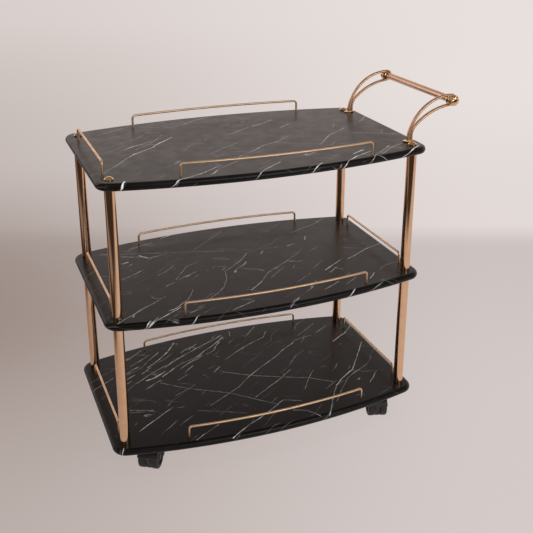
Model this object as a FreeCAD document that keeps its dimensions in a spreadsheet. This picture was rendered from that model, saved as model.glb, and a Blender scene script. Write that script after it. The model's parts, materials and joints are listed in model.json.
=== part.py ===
import FreeCAD, Part
import math
import os

import Sketcher
from FreeCAD import Placement, Rotation, Vector

# A three-shelf tea trolley: bowed shelves on tube posts, bent-wire rails, a push handle
# and four twin-wheel swivel casters. X runs along the shelves with the handle at +X,
# Y runs across them and Z is up from the floor. Lengths are millimetres.

DIMENSIONS = (
    ("shelf_length", 716.0, "between the straight ends of a shelf"),
    ("shelf_width", 470.0, "across the middle of the bowed sides"),
    ("shelf_thickness", 16.0, "board"),
    ("shelf_bow_radius", 1500.0, "radius of the long sides"),
    ("shelf_corner_radius", 32.0, "corner seen from above"),
    ("shelf_edge_flat", 1.0, "flat band left in the middle of the rounded edge"),
    ("post_end_inset", 28.0, "straight end of a shelf to the post centres"),
    ("post_side_inset", 68.0, "middle of a bowed side to the post centres"),
    ("post_diameter", 22.0, "tube"),
    ("post_wall", 1.5, "tube"),
    ("post_length", 278.5, "clear height between two shelves"),
    ("plug_length", 24.0, "threaded plug in a tube end"),
    ("bolt_diameter", 8.0, "studs, cap screws and foot bolts"),
    ("bolt_grip", 16.0, "length of thread inside a plug"),
    ("bolt_hole_clearance", 0.3, "radial, in the shelves"),
    ("fit_clearance", 0.05, "radial, for plugs, threads and sunk wires"),
    ("cap_diameter", 18.5, "domed head on the top shelf"),
    ("cap_height", 6.0, "domed head"),
    ("cap_rim", 1.5, "upright rim of the dome"),
    ("foot_head_diameter", 16.0, "bolt head under the bottom shelf"),
    ("foot_head_height", 4.0, "bolt head"),
    ("foot_washer_diameter", 20.0, "under the bolt head"),
    ("foot_washer_thickness", 1.5, "under the bolt head"),
    ("rail_wire", 5.0, "wire diameter"),
    ("rail_height", 26.0, "shelf top to wire centre"),
    ("rail_bend_radius", 7.0, "wire centre line"),
    ("rail_inset", 22.0, "bowed side of the shelf to the long rail"),
    ("long_rail_span", 413.0, "between leg centres"),
    ("long_rail_shift", 9.0, "long rails sit this far towards the handle"),
    ("short_rail_span", 262.0, "between leg centres"),
    ("short_rail_inset", 23.0, "straight end of the shelf to the short rail"),
    ("rail_sink", 10.0, "leg length below the shelf top"),
    ("rail_hole_spare", 0.5, "hole depth beyond the leg"),
    ("handle_side_inset", 92.5, "middle of a bowed side to the middle of an arm"),
    ("arm_foot_inset", 21.5, "straight end of the shelf to the foot centre"),
    ("arm_reach", 100.0, "foot centre to bar centre along X"),
    ("arm_rise", 84.5, "shelf top to bar centre"),
    ("arm_thickness", 8.4, "along Y"),
    ("arm_foot_width", 13.8, "along X"),
    ("arm_tine", 6.0, "width of each of the two branches"),
    ("arm_eye_radius", 13.5, "round end that carries the bar"),
    ("arm_heel_height", 8.0, "height at which the upper outline starts to curve"),
    ("arm_back_radius", 103.0, "upper outline"),
    ("arm_tail_radius", 135.0, "lower outline, along the lower branch"),
    ("arm_belly_radius", 28.0, "lower outline, above the foot"),
    ("arm_instep_height", 13.0, "height at which the lower outline starts to curve"),
    ("arm_slot_start", 34.0, "height at which the branches part"),
    ("arm_slot_land", 3.0, "between the slot's straight part and the round end of the arm"),
    ("arm_slot_bulge", 6.0, "rise of the slot's rounded end beyond that"),
    ("arm_edge_round", 1.8, "edges of the arm's two sides"),
    ("flange_heel", 15.0, "foot centre to the flange's end at -X"),
    ("flange_toe", 10.0, "foot centre to the flange's end at +X"),
    ("flange_width", 12.0, "along Y"),
    ("flange_thickness", 3.0, "under the foot"),
    ("peg_diameter", 4.0, "locating peg under the flange"),
    ("peg_length", 6.0, "locating peg"),
    ("arm_screw_diameter", 4.0, "from below into the foot"),
    ("arm_screw_grip", 12.0, "thread inside the foot"),
    ("arm_screw_head_diameter", 8.0, "head under the shelf"),
    ("arm_screw_head_height", 3.0, "head under the shelf"),
    ("bar_diameter", 16.0, "handle bar"),
    ("flute_count", 24, "grooves around the bar"),
    ("flute_radius", 0.7, "groove"),
    ("end_screw_diameter", 6.0, "through the arm into the bar"),
    ("end_screw_grip", 18.0, "thread inside the bar"),
    ("end_screw_head_diameter", 11.0, "head inside the end cap"),
    ("end_screw_head_height", 4.0, "head inside the end cap"),
    ("end_cap_diameter", 25.0, "round bead of the cap on the outside of each arm"),
    ("end_cap_bead", 8.0, "length of the bead"),
    ("end_cap_seat_diameter", 21.0, "both ends of the bead"),
    ("end_cap_dome_rise", 6.0, "dome beyond the bead"),
    ("end_cap_room", 0.6, "around and beyond the screw head"),
    ("caster_end_inset", 84.0, "straight end of the shelf to the swivel axes, before the shift"),
    ("caster_shift", 10.0, "casters sit this far towards the handle"),
    ("caster_side_inset", 93.5, "middle of a bowed side to the swivel axes"),
    ("caster_height", 64.0, "floor to the underside of the bottom shelf"),
    ("caster_trail", 20.0, "swivel axis to axle"),
    ("swivel_angle_front_left", 237.0, "direction from swivel axis to axle, in degrees from +X"),
    ("swivel_angle_front_right", 253.0, "as above"),
    ("swivel_angle_back_left", 240.0, "as above"),
    ("swivel_angle_back_right", 229.0, "as above"),
    ("plate_side", 62.0, "square caster plate"),
    ("plate_thickness", 3.0, "caster plate"),
    ("plate_corner_radius", 5.0, "caster plate"),
    ("plate_screw_pitch", 50.0, "between screw centres"),
    ("plate_screw_diameter", 4.0, "wood screw"),
    ("plate_screw_head_diameter", 7.6, "wood screw"),
    ("plate_screw_head_height", 2.2, "wood screw"),
    ("plate_screw_sink", 11.0, "length inside the shelf"),
    ("kingpin_diameter", 8.0, "swivel pin"),
    ("kingpin_depth", 20.0, "length inside the hood"),
    ("kingpin_spare", 1.0, "between the pin's end and its bore's end"),
    ("running_clearance", 0.05, "radial, for pins in turning bores"),
    ("swivel_washer_diameter", 22.0, "between plate and hood"),
    ("swivel_washer_thickness", 3.0, "between plate and hood"),
    ("swivel_gap", 0.3, "washer to hood"),
    ("neck_top_radius", 28.0, "flared neck around the swivel pin"),
    ("neck_waist_radius", 11.0, "flared neck, at its lower end"),
    ("neck_rim", 2.5, "upright rim at the top of the neck"),
    ("neck_height", 22.0, "flared neck"),
    ("neck_flare_radius", 24.0, "hollow side of the neck"),
    ("hood_wall", 2.2, "shell over the wheels"),
    ("hood_clearance", 1.2, "wheel to shell"),
    ("hood_front_angle", 25.0, "front lip, in degrees above the axle"),
    ("hood_back_angle", 200.0, "back lip, in degrees"),
    ("web_thickness", 11.0, "middle wall that carries the axle"),
    ("web_foot", 14.0, "half width of the wall under the axle"),
    ("web_drop", 20.0, "axle to the wall's lower edge"),
    ("wheel_diameter", 50.0, "tread"),
    ("wheel_width", 16.0, "wheel"),
    ("wheel_side_gap", 0.5, "wheel to middle wall"),
    ("wheel_edge_round", 4.0, "tread edges"),
    ("wheel_dish_radius", 16.0, "recess in the outer face"),
    ("wheel_dish_depth", 3.0, "recess in the outer face"),
    ("axle_diameter", 6.0, "wheel axle"),
    ("axle_head_diameter", 11.0, "button on each end of the axle"),
    ("axle_head_height", 2.0, "button on each end of the axle"),
    ("axle_head_gap", 0.3, "button to wheel"),
)

# Positions that follow from the dimensions.
PLACES = (
    ("mid_x", "-(dims.arm_reach - dims.arm_foot_inset + dims.arm_eye_radius) / 2"),
    ("bottom_under", "dims.caster_height"),
    ("bottom_top", "bottom_under + dims.shelf_thickness"),
    ("middle_under", "bottom_top + dims.post_length"),
    ("middle_top", "middle_under + dims.shelf_thickness"),
    ("top_under", "middle_top + dims.post_length"),
    ("top_top", "top_under + dims.shelf_thickness"),
    ("post_x", "dims.shelf_length / 2 - dims.post_end_inset"),
    ("post_y", "dims.shelf_width / 2 - dims.post_side_inset"),
    ("caster_x", "dims.shelf_length / 2 - dims.caster_end_inset"),
    ("caster_y", "dims.shelf_width / 2 - dims.caster_side_inset"),
    ("edge_radius", "(dims.shelf_thickness - dims.shelf_edge_flat) / 2"),
    ("bow_centre", "dims.shelf_width / 2 - dims.shelf_bow_radius"),
    ("tube_bore", "dims.post_diameter / 2 - dims.post_wall"),
    ("bolt_radius", "dims.bolt_diameter / 2 - dims.fit_clearance"),
    ("bolt_reach", "dims.shelf_thickness + dims.bolt_grip"),
    ("dome_rise", "dims.cap_height - dims.cap_rim"),
    ("dome_radius", "((dims.cap_diameter / 2) ^ 2 + dome_rise ^ 2) / (2 * dome_rise)"),
    ("rail_bow", "dims.shelf_bow_radius - dims.rail_inset"),
    ("rail_turn", "asin(dims.long_rail_span / 2 / sqrt(rail_bow ^ 2 + dims.rail_bend_radius ^ 2))"
                  " - atan(dims.rail_bend_radius / rail_bow)"),
    ("rail_leg_y", "rail_bow * cos(rail_turn) - dims.rail_bend_radius * sin(rail_turn)"),
    ("arm_x", "dims.shelf_length / 2 - dims.arm_foot_inset"),
    ("bar_z", "top_top + dims.arm_rise"),
    ("handle_spread", "dims.shelf_width - 2 * dims.handle_side_inset"),
    ("arm_side", "dims.arm_foot_width / 2"),
    ("back_run", "dims.arm_reach + arm_side"),
    ("back_lift", "dims.arm_rise - dims.arm_heel_height"),
    ("back_chord", "sqrt(back_run ^ 2 + back_lift ^ 2)"),
    ("back_inner", "dims.arm_back_radius - dims.arm_eye_radius"),
    ("back_along", "(back_chord ^ 2 + dims.arm_back_radius ^ 2 - back_inner ^ 2) / (2 * back_chord)"),
    ("back_drop", "sqrt(dims.arm_back_radius ^ 2 - back_along ^ 2)"),
    ("back_x", "(back_along * back_run + back_drop * back_lift) / back_chord - arm_side"),
    ("back_z", "dims.arm_heel_height + (back_along * back_lift - back_drop * back_run) / back_chord"),
    ("crown_x", "dims.arm_reach + (dims.arm_reach - back_x) * dims.arm_eye_radius / back_inner"),
    ("crown_z", "dims.arm_rise + (dims.arm_rise - back_z) * dims.arm_eye_radius / back_inner"),
    ("belly_x", "arm_side + dims.arm_belly_radius"),
    ("tail_run", "dims.arm_reach - belly_x"),
    ("tail_lift", "dims.arm_rise - dims.arm_instep_height"),
    ("tail_chord", "sqrt(tail_run ^ 2 + tail_lift ^ 2)"),
    ("tail_inner", "dims.arm_tail_radius - dims.arm_belly_radius"),
    ("tail_outer", "dims.arm_tail_radius + dims.arm_eye_radius"),
    ("tail_along", "(tail_chord ^ 2 + tail_inner ^ 2 - tail_outer ^ 2) / (2 * tail_chord)"),
    ("tail_drop", "sqrt(tail_inner ^ 2 - tail_along ^ 2)"),
    ("tail_x", "belly_x + (tail_along * tail_run + tail_drop * tail_lift) / tail_chord"),
    ("tail_z", "dims.arm_instep_height + (tail_along * tail_lift - tail_drop * tail_run) / tail_chord"),
    ("chin_x", "dims.arm_reach + (tail_x - dims.arm_reach) * dims.arm_eye_radius / tail_outer"),
    ("chin_z", "dims.arm_rise + (tail_z - dims.arm_rise) * dims.arm_eye_radius / tail_outer"),
    ("turn_x", "belly_x + (belly_x - tail_x) * dims.arm_belly_radius / tail_inner"),
    ("turn_z", "dims.arm_instep_height"
               " + (dims.arm_instep_height - tail_z) * dims.arm_belly_radius / tail_inner"),
    ("slot_back_radius", "dims.arm_back_radius - dims.arm_tine"),
    ("slot_tail_radius", "dims.arm_tail_radius + dims.arm_tine"),
    ("slot_end", "dims.arm_reach - dims.arm_eye_radius - dims.arm_slot_land"),
    ("slot_upper", "back_z + sqrt(slot_back_radius ^ 2 - (slot_end - back_x) ^ 2)"),
    ("slot_lower", "tail_z + sqrt(slot_tail_radius ^ 2 - (slot_end - tail_x) ^ 2)"),
    ("slot_half", "(slot_upper - slot_lower) / 2"),
    ("slot_end_radius", "(slot_half ^ 2 + dims.arm_slot_bulge ^ 2) / (2 * dims.arm_slot_bulge)"),
    ("peg_x", "dims.flange_width / 2 - dims.flange_heel"),
    ("bead_radius", "((dims.end_cap_diameter - dims.end_cap_seat_diameter) ^ 2 / 4"
                    " + (dims.end_cap_bead / 2) ^ 2)"
                    " / (dims.end_cap_diameter - dims.end_cap_seat_diameter)"),
    ("end_dome_radius", "((dims.end_cap_seat_diameter / 2) ^ 2 + dims.end_cap_dome_rise ^ 2)"
                        " / (2 * dims.end_cap_dome_rise)"),
    ("hood_top", "dims.caster_height - dims.plate_thickness - dims.swivel_washer_thickness"
                 " - dims.swivel_gap"),
    ("neck_under", "hood_top - dims.neck_height"),
    ("wheel_radius", "dims.wheel_diameter / 2"),
    ("well_radius", "wheel_radius + dims.hood_clearance"),
    ("hood_radius", "well_radius + dims.hood_wall"),
    ("wheel_offset", "dims.web_thickness / 2 + dims.wheel_side_gap + dims.wheel_width / 2"),
    ("hood_width", "dims.web_thickness + 2 * (dims.wheel_side_gap + dims.wheel_width)"),
    ("axle_shoulder", "wheel_offset + dims.wheel_width / 2 - dims.wheel_dish_depth + dims.axle_head_gap"),
)

CORNERS = {
    "front_left": (-1, -1),
    "front_right": (1, -1),
    "back_left": (-1, 1),
    "back_right": (1, 1),
}
SIDES = {"front": -1, "back": 1}
ENDS = {"left": -1, "right": 1}
LEVELS = ("bottom", "middle", "top")

doc = FreeCAD.newDocument("tea_trolley")
nodes = {}


def add_sheet(name, rows):
    """Fills a spreadsheet with one named value on each row."""
    sheet = doc.addObject("Spreadsheet::Sheet", name)
    for number, row in enumerate(rows, start=1):
        for column, text in zip("ABC", row):
            sheet.set(f"{column}{number}", text)
        sheet.setAlias(f"B{number}", row[0])
    doc.recompute()
    return sheet


dims = add_sheet("dims", [(alias, str(size), note) for alias, size, note in DIMENSIONS])
places = add_sheet("places", [(alias, "=" + formula) for alias, formula in PLACES])


def value(formula):
    """Number that a formula on the two sheets gives."""
    result = dims.evalExpression(formula)
    return float(getattr(result, "Value", result))


def place(obj, x="0", y="0", z="0", turn=None):
    """Ties an object's position, and its turn about Z, to formulas."""
    for axis, formula in zip("xyz", (x, y, z)):
        obj.setExpression(f"Placement.Base.{axis}", formula)
    if turn:
        obj.setExpression("Placement.Rotation.Angle", turn)


def add_body(name):
    """Empty body whose label is the sub-part's name."""
    body = doc.addObject("PartDesign::Body", name)
    body.Label = name
    return body


def add_node(obj):
    """Keeps an object as a sub-part of the trolley."""
    nodes[obj.Label] = obj
    return obj


def add_group(name, members):
    """One sub-part made of several separate solids."""
    group = doc.addObject("Part::Compound", name)
    group.Label = name
    group.Links = members
    return add_node(group)


def add_sketch(body, name, plane, offset="0"):
    """Sketch on one of the body's own origin planes, or at a distance from it."""
    sketch = body.newObject("Sketcher::SketchObject", f"{body.Name}_{name}")
    support = next(feature for feature in body.Origin.OriginFeatures if feature.Role == plane)
    sketch.AttachmentSupport = [(support, "")]
    sketch.MapMode = "FlatFace"
    sketch.setExpression("AttachmentOffset.Base.z", offset)
    return sketch


def constrain(sketch, constraint, formula):
    """Adds a size to a sketch and ties it to a formula."""
    index = sketch.addConstraint(constraint)
    sketch.setExpression(f"Constraints[{index}]", formula)


def pin_point(sketch, geometry, point, x, y):
    """Holds a sketch point at formulas for its two coordinates."""
    for kind, axis, formula in (("DistanceX", -2, x), ("DistanceY", -1, y)):
        if formula == "0":
            sketch.addConstraint(Sketcher.Constraint("PointOnObject", geometry, point, axis))
        else:
            constraint = Sketcher.Constraint(kind, -1, 1, geometry, point, value(formula))
            constrain(sketch, constraint, formula)


def add_circle(sketch, x, y, radius):
    """Circle with its centre and its radius tied to formulas."""
    circle = Part.Circle(Vector(value(x), value(y), 0), Vector(0, 0, 1), value(radius))
    geometry = sketch.addGeometry(circle)
    pin_point(sketch, geometry, 3, x, y)
    constrain(sketch, Sketcher.Constraint("Radius", geometry, value(radius)), radius)


def arc_between(start, end, radius, leftward):
    """Arc of less than half a turn from start to end, turning left or right on the way."""
    chord = end - start
    height = math.sqrt(max(radius ** 2 - (chord.Length / 2) ** 2, 0.0))
    across = Vector(-chord.y, chord.x, 0).normalize()
    centre = (start + end) / 2 + across * (height if leftward else -height)
    first, last = (start, end) if leftward else (end, start)
    angles = [math.atan2(point.y - centre.y, point.x - centre.x) for point in (first, last)]
    return Part.ArcOfCircle(Part.Circle(centre, Vector(0, 0, 1), radius), *angles)


def add_outline(sketch, corners, arcs=None):
    """Closed outline through corner points. arcs gives, for the side that starts at a corner,
    the radius and whether it turns left; the other sides are straight."""
    arcs = arcs or {}
    points = [Vector(value(x), value(y), 0) for x, y in corners]
    ends = []
    for number, (start, end) in enumerate(zip(points, points[1:] + points[:1])):
        if number in arcs:
            radius, leftward = arcs[number]
            geometry = sketch.addGeometry(arc_between(start, end, value(radius), leftward))
            constrain(sketch, Sketcher.Constraint("Radius", geometry, value(radius)), radius)
            ends.append((geometry, 1, 2) if leftward else (geometry, 2, 1))
        else:
            ends.append((sketch.addGeometry(Part.LineSegment(start, end)), 1, 2))
    for (before, _, last), (after, first, _) in zip(ends[-1:] + ends[:-1], ends):
        sketch.addConstraint(Sketcher.Constraint("Coincident", before, last, after, first))
    for (geometry, first, _), (x, y) in zip(ends, corners):
        pin_point(sketch, geometry, first, x, y)


def extrude(body, kind, sketch, length=None, flip=False, symmetric=False):
    """Pad or pocket of a sketch; a pocket without a length goes right through."""
    feature = body.newObject(f"PartDesign::{kind}", f"{sketch.Name}_{kind.lower()}")
    feature.Profile = sketch
    feature.Reversed = flip
    if symmetric:
        feature.SideType = "Symmetric"
    if length:
        feature.setExpression("Length", length)
    else:
        feature.Type = "ThroughAll"
    sketch.Visibility = False
    doc.recompute()
    return feature


def drill(body, name, plane, offset, centres, radius, depth=None, flip=False):
    """Round holes of one size, cut from a plane at an offset."""
    sketch = add_sketch(body, name, plane, offset)
    for x, y in centres:
        add_circle(sketch, x, y, radius)
    before = body.Shape.Volume
    pocket = extrude(body, "Pocket", sketch, depth, flip)
    if not body.Shape.Volume < before:
        raise RuntimeError(f"{body.Label}: {name} removed nothing")
    return pocket


def round_edges(body, name, radius, chosen):
    """Fillet on the edges of the body that a test picks."""
    fillet = body.newObject("PartDesign::Fillet", f"{body.Name}_{name}")
    base = fillet.BaseFeature or body.Tip
    names = [f"Edge{number}" for number, edge in enumerate(base.Shape.Edges, 1) if chosen(edge)]
    fillet.Base = (base, names)
    fillet.setExpression("Radius", radius)
    doc.recompute()
    return fillet


def repeat_round(body, feature, axis_sketch, count):
    """Copies of a cut, evenly spread around a sketch's normal."""
    pattern = body.newObject("PartDesign::PolarPattern", f"{feature.Name}_ring")
    pattern.Originals = [feature]
    pattern.Axis = (axis_sketch, ["N_Axis"])
    pattern.Angle = 360
    pattern.setExpression("Occurrences", count)
    body.Tip = pattern
    doc.recompute()


def revolve(body, sketch):
    """Full turn of a sketch about its own upright axis."""
    revolution = body.newObject("PartDesign::Revolution", f"{sketch.Name}_turned")
    revolution.Profile = sketch
    revolution.ReferenceAxis = (sketch, ["V_Axis"])
    revolution.Angle = 360
    sketch.Visibility = False


def turned(name, plane, corners, arcs=None):
    """Body turned from half a section. XZ_Plane turns it about Z, XY_Plane about Y."""
    body = add_body(name)
    sketch = add_sketch(body, "section", plane)
    add_outline(sketch, corners, arcs)
    revolve(body, sketch)
    return body


def lies_at(edge, height):
    """Whether an edge lies in the level plane at a height of its body's own frame."""
    box = edge.BoundBox
    return abs(box.ZMin - height) < 1e-4 and abs(box.ZMax - height) < 1e-4


def stands_upright(edge):
    """Whether an edge is parallel to Z."""
    box = edge.BoundBox
    return box.XLength < 1e-4 and box.YLength < 1e-4


def four_way(x, y):
    """The four points at plus and minus two formulas."""
    return [(f"{sign_x} * ({x})", f"{sign_y} * ({y})") for sign_x, sign_y in CORNERS.values()]


def post_place(corner, level):
    """Position formulas of a post's axis at a named height."""
    sign_x, sign_y = CORNERS[corner]
    return (f"places.mid_x + {sign_x} * places.post_x",
            f"{sign_y} * places.post_y", f"places.{level}")


def caster_place(corner, level):
    """Position formulas of a swivel axis at a given height formula."""
    sign_x, sign_y = CORNERS[corner]
    return (f"places.mid_x + dims.caster_shift + {sign_x} * places.caster_x",
            f"{sign_y} * places.caster_y", level)


LONG_RAIL_FEET = [
    (f"dims.long_rail_shift + {end} * dims.long_rail_span / 2",
     f"{side} * (places.bow_centre + places.rail_leg_y)")
    for end in ENDS.values() for side in SIDES.values()
]


def short_rail_feet(end):
    """Leg positions of the short rail at one end, from the shelf's centre."""
    return [(f"{ENDS[end]} * (dims.shelf_length / 2 - dims.short_rail_inset)",
             f"{side} * dims.short_rail_span / 2") for side in SIDES.values()]


def rail_ends(level):
    """Ends of a shelf that carry a short rail: the handle stands on the top shelf's right end."""
    return ["left"] if level == "top" else ["left", "right"]


def add_shelf(level):
    """Board with bowed long sides, a rounded edge and holes for posts and rails."""
    body = add_body(f"shelf_{level}")
    sketch = add_sketch(body, "outline", "XY_Plane")
    half_length = "dims.shelf_length / 2"
    end_height = ("(places.bow_centre + sqrt(dims.shelf_bow_radius ^ 2"
                  " - (dims.shelf_length / 2) ^ 2))")
    add_outline(sketch, [
        (half_length, f"-{end_height}"),
        (half_length, end_height),
        (f"-{half_length}", end_height),
        (f"-{half_length}", f"-{end_height}"),
    ], {1: ("dims.shelf_bow_radius", True), 3: ("dims.shelf_bow_radius", True)})
    extrude(body, "Pad", sketch, "dims.shelf_thickness")
    round_edges(body, "corners", "dims.shelf_corner_radius", stands_upright)
    thickness = value("dims.shelf_thickness")
    round_edges(body, "rim", "places.edge_radius",
                lambda edge: lies_at(edge, 0) or lies_at(edge, thickness))
    post_holes = four_way("places.post_x", "places.post_y")
    drill(body, "post_holes", "XY_Plane", "dims.shelf_thickness", post_holes,
          "dims.bolt_diameter / 2 + dims.bolt_hole_clearance")
    feet = list(LONG_RAIL_FEET)
    for end in rail_ends(level):
        feet += short_rail_feet(end)
    drill(body, "rail_holes", "XY_Plane", "dims.shelf_thickness", feet,
          "dims.rail_wire / 2 + dims.fit_clearance", "dims.rail_sink + dims.rail_hole_spare")
    place(body, "places.mid_x", "0", f"places.{level}_under")
    return add_node(body)


def add_handle_holes(shelf):
    """Screw and peg holes under the two handle arms."""
    arm_rows = [f"{side} * places.handle_spread / 2" for side in SIDES.values()]
    drill(shelf, "arm_screw_holes", "XY_Plane", "dims.shelf_thickness",
          [("places.arm_x", y) for y in arm_rows],
          "dims.arm_screw_diameter / 2 + dims.bolt_hole_clearance")
    drill(shelf, "peg_holes", "XY_Plane", "dims.shelf_thickness",
          [("places.arm_x + places.peg_x", y) for y in arm_rows],
          "dims.peg_diameter / 2 + dims.fit_clearance", "dims.peg_length + dims.rail_hole_spare")


def plate_screw_spots(corner):
    """Screw positions of one caster plate, from the shelf's centre."""
    sign_x, sign_y = CORNERS[corner]
    return [(f"dims.caster_shift + {sign_x} * places.caster_x + {step_x} * dims.plate_screw_pitch / 2",
             f"{sign_y} * places.caster_y + {step_y} * dims.plate_screw_pitch / 2")
            for step_x, step_y in CORNERS.values()]


def add_caster_holes(shelf):
    """Pilot holes in the underside for the caster plate screws."""
    spots = [spot for corner in CORNERS for spot in plate_screw_spots(corner)]
    drill(shelf, "caster_screw_holes", "XY_Plane", "0", spots, "dims.plate_screw_diameter / 2",
          "dims.plate_screw_sink + dims.rail_hole_spare", flip=True)


def add_post(name, corner, level):
    """Plain tube that stands on a shelf."""
    body = add_body(name)
    sketch = add_sketch(body, "section", "XY_Plane")
    add_circle(sketch, "0", "0", "dims.post_diameter / 2")
    add_circle(sketch, "0", "0", "places.tube_bore")
    extrude(body, "Pad", sketch, "dims.post_length")
    place(body, *post_place(corner, f"{level}_top"))
    return add_node(body)


def add_plugs(name, levels):
    """Threaded plugs in both ends of the four posts between two shelves."""
    below, above = levels
    bore = "dims.bolt_diameter / 2"
    skin = "places.tube_bore - dims.fit_clearance"
    section = [(bore, "0"), (skin, "0"), (skin, "dims.plug_length"), (bore, "dims.plug_length")]
    plugs = []
    for corner in CORNERS:
        low = turned(f"{name}_{corner}_low", "XZ_Plane", section)
        place(low, *post_place(corner, f"{below}_top"))
        high = turned(f"{name}_{corner}_high", "XZ_Plane", section)
        place(high, *post_place(corner, f"{above}_under - dims.plug_length"))
        plugs += [low, high]
    return add_group(name, plugs)


def add_studs():
    """Headless studs that join lower and upper posts through the middle shelf."""
    studs = []
    for corner in CORNERS:
        stud = doc.addObject("Part::Cylinder", f"stud_{corner}")
        stud.setExpression("Radius", "places.bolt_radius")
        stud.setExpression("Height", "dims.shelf_thickness + 2 * dims.bolt_grip")
        place(stud, *post_place(corner, "middle_under - dims.bolt_grip"))
        studs.append(stud)
    return add_group("joining_studs", studs)


def add_cap_screws():
    """Domed screws that close the posts above the top shelf."""
    rim = "dims.cap_diameter / 2"
    section = [
        (rim, "0"), (rim, "dims.cap_rim"), ("0", "dims.cap_height"), ("0", "-places.bolt_reach"),
        ("places.bolt_radius", "-places.bolt_reach"), ("places.bolt_radius", "0"),
    ]
    screws = []
    for corner in CORNERS:
        screw = turned(f"cap_screw_{corner}", "XZ_Plane", section, {1: ("places.dome_radius", True)})
        place(screw, *post_place(corner, "top_top"))
        screws.append(screw)
    return add_group("top_cap_screws", screws)


def headed_screw(name, head_diameter, head_height, shank_radius, shank_length):
    """Screw that points up, with its head below the origin."""
    head = f"{head_diameter} / 2"
    return turned(name, "XZ_Plane", [
        ("0", f"-{head_height}"), (head, f"-{head_height}"), (head, "0"), (shank_radius, "0"),
        (shank_radius, shank_length), ("0", shank_length),
    ])


def ring(name, inner, outer, thickness):
    """Flat washer on its lower face."""
    return turned(name, "XZ_Plane", [(inner, "0"), (outer, "0"), (outer, thickness), (inner, thickness)])


def add_foot_bolts():
    """Bolts and washers under the bottom shelf that hold the lower posts."""
    bolts = []
    washers = []
    for corner in CORNERS:
        bolt = headed_screw(f"foot_bolt_{corner}", "dims.foot_head_diameter", "dims.foot_head_height",
                            "places.bolt_radius", "(dims.foot_washer_thickness + places.bolt_reach)")
        washer = ring(f"foot_washer_{corner}", "dims.bolt_diameter / 2 + dims.bolt_hole_clearance",
                      "dims.foot_washer_diameter / 2", "dims.foot_washer_thickness")
        for piece in (bolt, washer):
            place(piece, *post_place(corner, "bottom_under - dims.foot_washer_thickness"))
        bolts.append(bolt)
        washers.append(washer)
    add_group("foot_bolts", bolts)
    add_group("foot_washers", washers)


def bent_wire(legs, bends, bar):
    """Round wire along one leg, a bend, the bar, the second bend and leg."""
    path = Part.Wire([legs[0], bends[0], bar, bends[1], legs[1]])
    start = legs[0].Vertexes[0].Point
    radius = value("dims.rail_wire / 2")
    section = Part.Wire(Part.makeCircle(radius, start, Vector(0, 0, 1)))
    return path.makePipeShell([section], True, False)


def rail_shape(bowed):
    """Bent wire from the shelf top up. A bowed rail is drawn around the centre of its bow and a
    straight one around its own middle; both bars run along X."""
    height = value("dims.rail_height")
    bend = value("dims.rail_bend_radius")
    sink = value("dims.rail_sink")
    bow = value("places.rail_bow") if bowed else 0.0
    turn = math.radians(value("places.rail_turn")) if bowed else 0.0
    straight = 0.0 if bowed else value("dims.short_rail_span / 2") - bend
    legs, bends, tips = [], [], []
    for side in (-1, 1):
        outward = Vector(side * math.cos(turn), -math.sin(turn), 0)
        tip = Vector(side * (bow * math.sin(turn) + straight), bow * math.cos(turn), height)
        knee = tip + outward * bend - Vector(0, 0, bend)
        halfway = tip - Vector(0, 0, bend) + (outward + Vector(0, 0, 1)) * (bend / math.sqrt(2))
        foot = Vector(knee.x, knee.y, -sink)
        legs.append(Part.makeLine(foot, knee) if side < 0 else Part.makeLine(knee, foot))
        corner = (knee, halfway, tip) if side < 0 else (tip, halfway, knee)
        bends.append(Part.Arc(*corner).toShape())
        tips.append(tip)
    bar = Part.Arc(tips[0], Vector(0, bow, height), tips[1]).toShape() if bowed else Part.makeLine(*tips)
    return bent_wire(legs, bends, bar)


def add_rail(name, shape, x, y, level, turn):
    """Wire rail stood on a shelf."""
    rail = doc.addObject("Part::Feature", name)
    rail.Label = name
    rail.Shape = shape
    rail.Placement = Placement(Vector(value(x), value(y), value(f"places.{level}_top")),
                               Rotation(Vector(0, 0, 1), turn))
    return add_node(rail)


def add_rails():
    """Long rails on both sides of every shelf and short ones at the ends."""
    long_wire = rail_shape(True)
    short_wire = rail_shape(False)
    for level in LEVELS:
        for side, sign in SIDES.items():
            add_rail(f"rail_{level}_{side}", long_wire, "places.mid_x + dims.long_rail_shift",
                     f"{sign} * places.bow_centre", level, 0 if sign > 0 else 180)
        for end in rail_ends(level):
            reach = f"{ENDS[end]} * (dims.shelf_length / 2 - dims.short_rail_inset)"
            add_rail(f"rail_{level}_{end}", short_wire, f"places.mid_x + {reach}", "0", level, 90)


def arm_side_x(curve, radius, height):
    """Where a curve of the arm's outline passes a height, on its -X side."""
    return f"places.{curve}_x - sqrt({radius} ^ 2 - ({height} - places.{curve}_z) ^ 2)"


def add_arm_outline(sketch):
    """Side view of a handle arm: a foot that parts into two branches and a round end. The curves
    run into each other and into the round end without corners."""
    add_outline(sketch, [
        ("-places.arm_side", "0"),
        ("-places.arm_side", "dims.arm_heel_height"),
        ("places.crown_x", "places.crown_z"),
        ("dims.arm_reach + dims.arm_eye_radius", "dims.arm_rise"),
        ("places.chin_x", "places.chin_z"),
        ("places.turn_x", "places.turn_z"),
        ("places.arm_side", "dims.arm_instep_height"),
        ("places.arm_side", "0"),
    ], {
        1: ("dims.arm_back_radius", False),
        2: ("dims.arm_eye_radius", False),
        3: ("dims.arm_eye_radius", False),
        4: ("dims.arm_tail_radius", True),
        5: ("dims.arm_belly_radius", True),
    })
    start = "dims.arm_slot_start"
    back, tail = "places.slot_back_radius", "places.slot_tail_radius"
    add_outline(sketch, [
        (arm_side_x("back", back, start), start),
        ("places.slot_end", "places.slot_upper"),
        ("places.slot_end", "places.slot_lower"),
        (arm_side_x("tail", tail, start), start),
    ], {0: (back, False), 1: ("places.slot_end_radius", False), 2: (tail, True)})


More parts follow.
